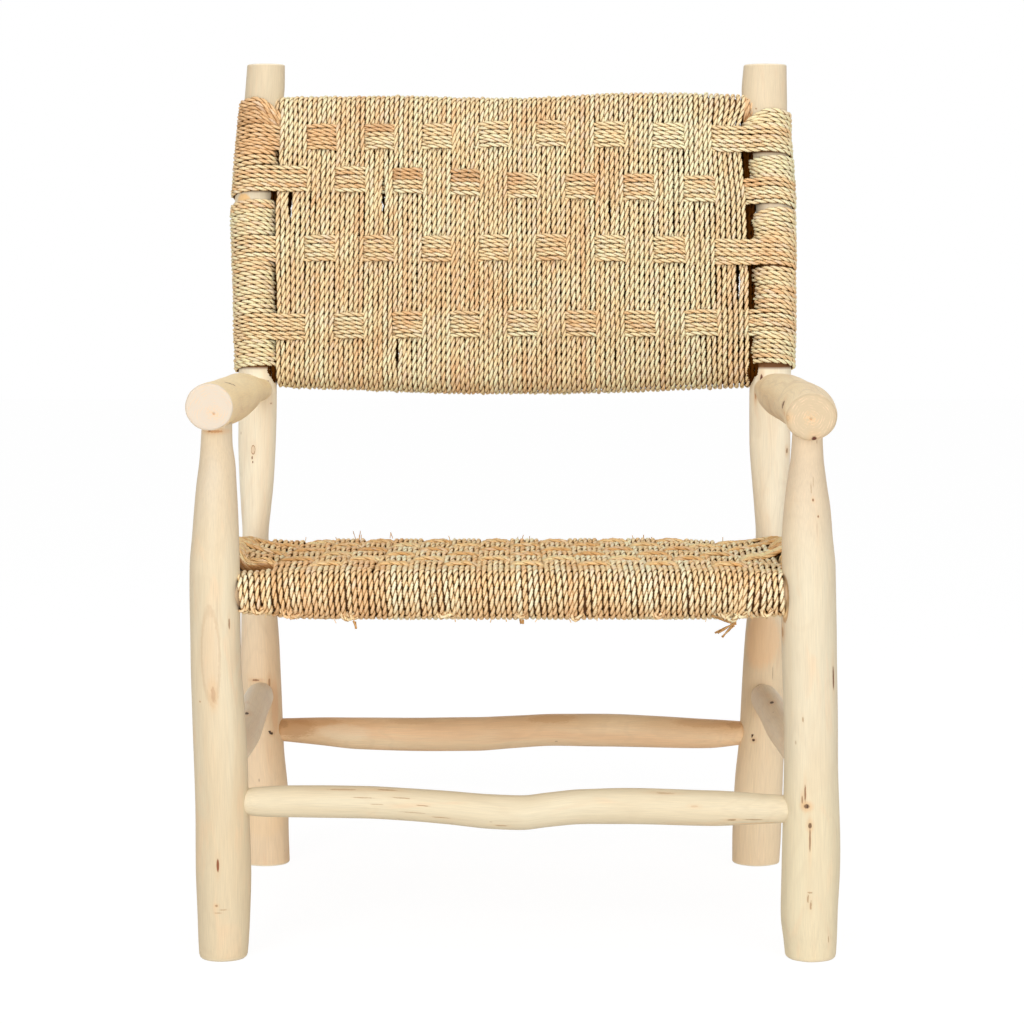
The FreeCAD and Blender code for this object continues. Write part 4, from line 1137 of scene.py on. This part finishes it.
        # Places for plain turns along a side pole, spread evenly between the rows and the slits
        sideX = self.left if which == 0 else self.right
        taken = [(low, low), (high, high), *slits]
        for row in self.spec["rows"]:
            centre = self.rowCentre(row, sideX)
            breadth = row[0] * self.spec["rowPitch"] / 2
            taken.append((centre - breadth, centre + breadth))
        taken.sort()
        places = []
        for (_, before), (after, _) in zip(taken, taken[1:]):
            count = round((after - before) / self.spec["turnPitch"])
            places += [before + (after - before) * (i + 0.5) / count for i in range(count)]
        return places

    def backCord(self, x):
        # A slack cord round both rails in the gap beside a post
        loop = []
        for side, low, high, out in ((1, 0, 1, -8.5), (-1, 1, 0, 0.0)):
            ends = [self.railAt(low, x), self.railAt(high, x)]
            for step in range(9):
                part = step / 8
                s = ends[0][0] + (ends[1][0] - ends[0][0]) * part
                middle = min(part, 1 - part, 0.15) / 0.15
                lift = cordRadius + out * middle + self.chance(0.4)
                loop.append((x + self.chance(0.8), s, self.levelAt(x, s, side) + side * lift))
            turn = 0 if side > 0 else math.pi
            reach = ends[1][2] + cordRadius
            for angle in (50, 0, -50):
                lean = math.radians(angle) + turn
                loop.append((x, ends[1][0] + reach * math.cos(lean), ends[1][1] + reach * math.sin(lean)))
        return [self.place(*point) for point in loop[14:] + loop[:14]]


def cordTint(rolls, base, spread):
    return min(max(rolls.gauss(base, spread), 0.0), 1.0)


def rowTint(panel, index, number, base):
    # The tint of a row's cord, as the panel's stains and painted shade give it across the chair
    stainsAndShade = [stain for stain in panel.spec["stainsAndShade"] if stain[0] == index and stain[1] <= number <= stain[2]]

    def read(point):
        for *_, low, high, tint in stainsAndShade:
            if low <= point.x < high:
                return tint
        return base
    return read


def buildRows(panel, name, node, tone, material):
    # The rows woven across a panel, two rows in each piece
    for group in range(len(panel.spec["rows"]) // 2):
        paths = []
        for index in (group * 2, group * 2 + 1):
            row = panel.spec["rows"][index]
            for number in range(row[0]):
                base = cordTint(panel.random, tone, 0.2)
                paths.append((panel.weftCord(row, number), panel.sAxis, rowTint(panel, index, number, base)))
        buildCords(name + str(group + 1), node, paths, material, 0.97)


# Rows: cords in the row, place at the left and at the right edge, which bands it passes over, and
# where given how far it bends away at each of the bend places. Stains and shade: row, first and last
# cord, from and to where across the chair, and the tint; the browner tints are partly browner leaf and
# partly painted shade where cords are gathered. Slack: where cords hang in the gaps beside the posts;
# below they are nearly black as painted shade in those gaps.
backPanel = {
    "rails": ("backBottomRail", "backTopRail"), "sides": ("rearPostLeft", "rearPostRight"), "bands": 16,
    "cordsInBand": 6, "span": (-266.7, 271.3), "over": 7.2, "under": 1.6, "rest": 4.4, "plainFar": False,
    "seed": 4, "rowPitch": 5.15, "turnPitch": 5.5, "drawn": 0, "pile": (-300, 0), "lean": 1.6, "skew": 0.3,
    "drags": (), "weftRise": 0.3,
    "drift": ((-267, 0), (-235, -1), (-100, -2.5), (34, -6.5), (166, -7), (228, -4.5), (271, 0)),
    "rises": (((-270, 0), (270, 0)), ((-270, 0), (270, 0))), "edges": (
        ((0, 0), (70, 0), (150, -2.3), (190, -2.2), (240, 0.3), (280, 1.4), (330, 1.2)), (
            (0, 0), (110, 0), (154, -1.5), (188, -1.5), (216, -3.3), (248, -5.8), (281, -7.5), (302, -2),
            (330, 1.5),
        ),
    ), "partings": (
        (-252, 197, 26, 2.3), (-146, 201, 22, 1.8), (-127, 18, 24, 1.2), (122, 188, 26, 1),
        (261, 103, 28, 1.5),
    ), "rows": [
        (6, 46.8, 50.8, 0, (1, 2, 3, 1, 2, 3)), (6, 139.5, 138, 1, (0, 0, 2, 0, -2, -4.5)),
        (6, 221.8, 212.8, 0, (0, 0, -3.5, -3.5, -5, -6)), (6, 272.4, 270, 1, (-1.5, 0, 4, 2.5, 0, -3.5)),
    ], "stainsAndShade": (
        (2, 3, 5, -150, -35, 1.15), (2, 3, 5, -35, 5, 0.95), (2, 4, 5, 60, 400, 0.85),
        (3, 4, 5, -170, -130, 1.1), (3, 0, 5, -400, -190, 0.9), (0, 0, 5, -400, -205, 0.5),
    ), "slack": {0: (-271, -276), 3: (268, 272.5, 277)},
}
back = Panel(backPanel)


def slackTintAndShade(point):
    # Brown at the top, and nearly black below as painted shade in the gap beside the post
    return 0.9 if point.z > 818 else 2.6


for group in range(4):
    paths = []
    for band in range(group * 4, group * 4 + 4):
        bandTint = back.random.gauss(0.34, 0.07)
        for number in range(backPanel["cordsInBand"]):
            paths.append((back.warpCord(band, number), acrossChair, cordTint(back.random, bandTint, 0.16)))
    for x in backPanel["slack"].get(group, ()):
        paths.append((back.backCord(x), acrossChair, slackTintAndShade))
    buildCords("backWarp" + str(group + 1), "back_warp", paths, warpPalm)
buildRows(back, "backWeft", "back_weft", 0.4, weftPalm)

# Slits show the post between turns, and the turns below them slope. At the top the turns drop inwards.
backTurns = {
    "Left": {
        "node": "back_wrap_left", "which": 0, "low": 2, "high": 318, "slits": ((196.5, 205.5, 0),),
        "dropFrom": 285, "dropOver": 33, "drop": 22, "dropLean": 0,
    },
    "Right": {
        "node": "back_wrap_right", "which": 1, "low": 5, "high": 305,
        "slits": ((187.6, 191.5, 3.8), (248.2, 251.6, 0.8)), "dropFrom": 280, "dropOver": 25, "drop": 15,
        "dropLean": 1,
    },
}
slope = {"lean": 1.7, "reach": 22, "back": 2.6}
for word, turns in backTurns.items():
    paths = []
    which = turns["which"]
    for s in back.freeTurns(which, turns["low"], turns["high"], [slit[:2] for slit in turns["slits"]]):
        fall, lean = 0, slope["lean"]
        if s > turns["dropFrom"]:
            fall = (s - turns["dropFrom"]) / turns["dropOver"] * turns["drop"]
            lean = turns["dropLean"]
        for slitLow, slitHigh, slitFall in turns["slits"]:
            if slitFall and 0 <= slitLow - s < slope["reach"]:
                near = 1 - (slitLow - s) / slope["reach"]
                fall = slitFall * near
                lean -= slope["back"] * near
        tint = cordTint(back.random, 0.18, 0.2)
        if which == 0 and s > 225:
            tint = back.random.uniform(0.5, 1.0) + (0.35 if s > 252 else 0)
        tilt = lean + back.random.uniform(-0.5, 0.5)
        turn = back.sideTurn(which, s, fall, tilt, back.random.uniform(-0.4, 2.4))
        paths.append((turn, back.sAxis, tint))
    buildCords("backWrap" + word, turns["node"], paths, wrapPalm, 1.05)
print("back woven")

seatPanel = {
    "rails": ("frontSeatRail", "rearSeatRail"), "sides": ("sideSeatRailLeft", "sideSeatRailRight"),
    "bands": 16, "cordsInBand": 6, "span": (-258.5, 257), "over": 6.9, "under": 0.8, "rest": 3.6,
    "plainFar": True, "seed": 9, "rowPitch": 5.2, "turnPitch": 5.6, "drawn": 75, "pile": (-222, 1.4),
    "lean": 0, "skew": 0.8, "weftRise": -0.9,
    "drags": ((226, 14, -5.5), (-206, 12, 2.5), (-60, 10, 2), (62, 9, -2)), "drift": ((-267, 0), (271, 0)),
    "rises": (
        ((-260, 0), (260, 0)),
        ((-260, 6.5), (-215, 3.5), (-150, -1), (0, -2.5), (150, 0), (215, 3.5), (260, 6.5)),
    ), "edges": (((0, -2.5), (60, -6), (480, -6), (521, -3)), ((0, 2), (60, 5), (480, 5), (521, 3))),
    "partings": ((-132, -14, 30, 1.6), (-176, -16, 22, 0.9), (95, -12, 26, 0.8)), "rows": [
        (6, 42.7, 42.7, 0), (6, 129.2, 129.2, 1), (6, 216.3, 216.3, 0), (6, 303.3, 303.3, 1),
        (6, 389.8, 389.8, 0), (6, 474, 474, 1),
    ], "stainsAndShade": ((0, 0, 0, -400, -205, 2.1), (0, 1, 1, -400, -205, 1.9), (0, 2, 2, -400, -205, 1.45)),
}
seat = Panel(seatPanel)


def seatWarpTintAndShade(base, height):
    # Browner below, as painted shade on the lower part of the roll
    def read(point):
        return base + (0.35 if point.z < height and point.y < -325 else 0)
    return read


for group, bandRange in enumerate(((0, 3), (3, 6), (6, 9), (9, 12), (12, 14), (14, 16))):
    paths = []
    for band in range(*bandRange):
        bandTint = seat.random.gauss(0.56 - 0.018 * band, 0.08)
        for number in range(seatPanel["cordsInBand"]):
            base = cordTint(seat.random, bandTint, 0.2)
            route = seat.warpCord(band, number)
            paths.append((route, acrossChair, seatWarpTintAndShade(base, seat.random.uniform(333, 341))))
    buildCords("seatWarp" + str(group + 1), "seat_warp", paths, rollPalm, 0.93)


buildRows(seat, "seatWeft", "seat_weft", 0.55, seatPalm)
for word, node, which in (("Left", "seat_wrap_left", 0), ("Right", "seat_wrap_right", 1)):
    paths = []
    for s in seat.freeTurns(which, 26, 494):
        turn = seat.sideTurn(which, s, tilt=seat.random.uniform(-0.6, 0.6))
        paths.append((turn, seat.sAxis, cordTint(seat.random, 0.5, 0.2)))
    buildCords("seatWrap" + word, node, paths, seatPalm)
print("seat woven")


# Loose ends: knots under the roll, frayed tails and single whiskers

def anyWay(rolls, reach):
    return Vector([rolls.uniform(-reach, reach) for _ in range(3)])


def slackTurn(rolls, place, size):
    # A cord's turn that has come loose and hangs out of the roll
    points = []
    for offset in fray["slack"]:
        points.append(place + Vector(offset) * size + anyWay(rolls, 0.5))
    return points


def looseEnd(place, lean, length, droop):
    points = []
    for part in (0, 0.2, 0.4, 0.6, 0.8, 1):
        points.append(place + lean * length * part + upwards * -droop * part * part)
    return points


fray = {
    "slack": ((-2, 0, 2), (-1.1, -0.5, 0.4), (-0.3, -0.8, -0.3), (0.5, -0.7, -0.2), (1.2, -0.4, 0.5),
              (2, 0.2, 2)),
    "knots": (
        (-240, 334, 2.8), (-212, 331, 3.2), (-206, 330, 3), (-155, 328, 3.2), (-150, 329, 2.6),
        (-66, 330, 2.8), (-60, 331, 2.4), (8, 330, 2.6), (60, 328, 2.6), (138, 330, 2.6), (200, 330, 3.2),
        (207, 327, 3.2), (216, 330, 2.8), (240, 331, 2.8),
    ), "tails": (
        (212, 324, (-1, -0.3, -0.25), 26, 3), (208, 322, (-0.9, -0.4, -0.7), 19, 2),
        (206, 324, (-1, -0.2, 0.15), 22, -1), (-150, 326, (0.5, -0.3, -1), 8, 0),
        (9, 328, (0.1, -0.3, -1), 6, 0),
    ),
    "whiskers": ((-175, 188, 352, 15), (-172, 186, 352, 10), (-137, 190, 356, 8), (-76, -349, 350, 5)),
}
rolls = random.Random(31)
knotPaths = []
for x, z, size in fray["knots"]:
    knotPaths.append((slackTurn(rolls, Vector((x, -336, z)), size), None, rolls.uniform(0.3, 0.9)))
buildCords("seatKnots", "seat_warp", knotPaths, warpPalm, 0.85)
tailPaths = []
for x, z, lean, length, droop in fray["tails"]:
    for strand in range(2):
        aside = Vector(lean).normalized() + anyWay(rolls, 0.22)
        start = Vector((x + rolls.uniform(-2, 2), -342, z + rolls.uniform(-1, 1)))
        tail = looseEnd(start, aside, length * rolls.uniform(0.6, 1), droop)
        tailPaths.append((tail, None, rolls.uniform(1.4, 1.95)))
buildCords("seatTails", "seat_weft", tailPaths, rollPalm, 0.36)
tailPaths = []
for x, y, z, length in fray["whiskers"]:
    for strand in range(2):
        lean = Vector((rolls.uniform(-0.35, 0.2), rolls.uniform(-0.2, 0.2), 1))
        tailPaths.append((looseEnd(Vector((x + strand * 3, y, z)), lean, length, length * 0.15), None, 0.9))
for _ in range(46):
    # Short fibres along the two long edges of the seat and over the back
    x = rolls.uniform(-250, 250)
    if rolls.random() < 0.75:
        start = Vector((x, rolls.uniform(-349, -343), rolls.uniform(331, 338)))
        lean = Vector((rolls.uniform(-0.6, 0.6), -0.4, -1))
    else:
        start = Vector((x, rolls.uniform(180, 200), 353))
        lean = Vector((rolls.uniform(-0.6, 0.6), 0, 1))
    tailPaths.append((looseEnd(start, lean, rolls.uniform(3.5, 7), 0), None, rolls.uniform(0.3, 1)))
buildCords("seatFrays", "seat_weft", tailPaths, weftPalm, 0.17)
print("loose ends added")


# Iron nails

def ironMaterial():
    material, tree, shader = newMaterial("dullIron")
    rust = noiseValue(objectPlace(tree), 900.0, 3.0, 0.6)
    colour = mixColour(remap(rust, 0.4, 0.65), (0.07, 0.055, 0.045), (0.16, 0.075, 0.035))
    setInputs(shader, {"Base Color": colour, "Roughness": remap(rust, 0.3, 0.7, 0.45, 0.8), "Metallic": 0.7})
    return material


dullIron = ironMaterial()
for node in ("stretcher_nails", "arm_nails"):
    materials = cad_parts[node].data.materials
    for index in range(len(materials)):
        materials[index] = dullIron


# Floor, light and camera

studio = {"floorSize": 12, "white": 1, "floorWhite": 1.08, "worldStrength": 0.5, "shadowShare": 0.14}


def makeFloor():
    mesh = bpy.data.meshes.new("floor")
    size = studio["floorSize"]
    corners = [(-size, -size, 0), (size, -size, 0), (size, size, 0), (-size, size, 0)]
    mesh.from_pydata(corners, [], [(0, 1, 2, 3)])
    addObject("floor", mesh)
    material, tree, shader = newMaterial("studioFloor")
    setInputs(shader, {"Base Color": (0.9, 0.9, 0.9, 1), "Roughness": 0.9, "Specular IOR Level": 0.0})
    # The camera sees it nearly white, with a share of the chair's shadow
    light = newNode(tree, "ShaderNodeEmission", {"Color": (1, 1, 1, 1), "Strength": studio["floorWhite"]})
    seen = addNode(tree, "ShaderNodeLightPath").outputs["Is Camera Ray"]
    share = times(seen, 1 - studio["shadowShare"])
    mix = newNode(tree, "ShaderNodeMixShader", {0: share, 1: shader.outputs[0], 2: light})
    setInputs(tree.nodes["Material Output"], {"Surface": mix})
    mesh.materials.append(material)


def makeWorld():
    world = bpy.data.worlds.new("studio")
    bpy.context.scene.world = world
    world.use_nodes = True
    tree = world.node_tree
    ray = addNode(tree, "ShaderNodeLightPath").outputs
    seen = mathNode("MAXIMUM", ray["Is Glossy Ray"], ray["Is Transmission Ray"])
    seen = mathNode("MAXIMUM", ray["Is Camera Ray"], seen)
    strength = remap(seen, 0.0, 1.0, studio["worldStrength"], studio["white"])
    setInputs(tree.nodes["Background"], {"Strength": strength, "Color": (1, 1, 1, 1)})


def addLamp(name, place, aim, size, power):
    data = bpy.data.lights.new(name, "AREA")
    data.shape = "RECTANGLE"
    data.size, data.size_y = size
    data.energy = power
    lamp = addObject(name, data)
    lamp.location = place
    lamp.rotation_mode = "QUATERNION"
    lamp.rotation_quaternion = (Vector(aim) - Vector(place)).to_track_quat("-Z", "Y")


makeFloor()
makeWorld()
addLamp("softKey", (-1.3, -3.2, 1.35), (0, 0, 0.4), (1.4, 1.4), 41)
addLamp("softLow", (0.6, -2.7, 0.3), (0.1, 0, 0.45), (1.6, 0.4), 5)
addLamp("softFill", (1.7, -3.2, 0.8), (0, 0, 0.3), (1.4, 1.4), 27)
addLamp("softTop", (0.2, -0.9, 2.9), (0, 0, 0.45), (1.2, 1.2), 16)

view = {"place": (0, -3.0585, 0.6533), "down": 4.71, "lens": 102.01}
cameraData = bpy.data.cameras.new("camera")
cameraData.lens = view["lens"]
cameraData.sensor_width = 36
camera = addObject("camera", cameraData)
camera.location = view["place"]
camera.rotation_euler = (math.radians(90 - view["down"]), 0, 0)
bpy.context.scene.camera = camera
bpy.context.scene.view_settings.view_transform = "Standard"
print("studio set")
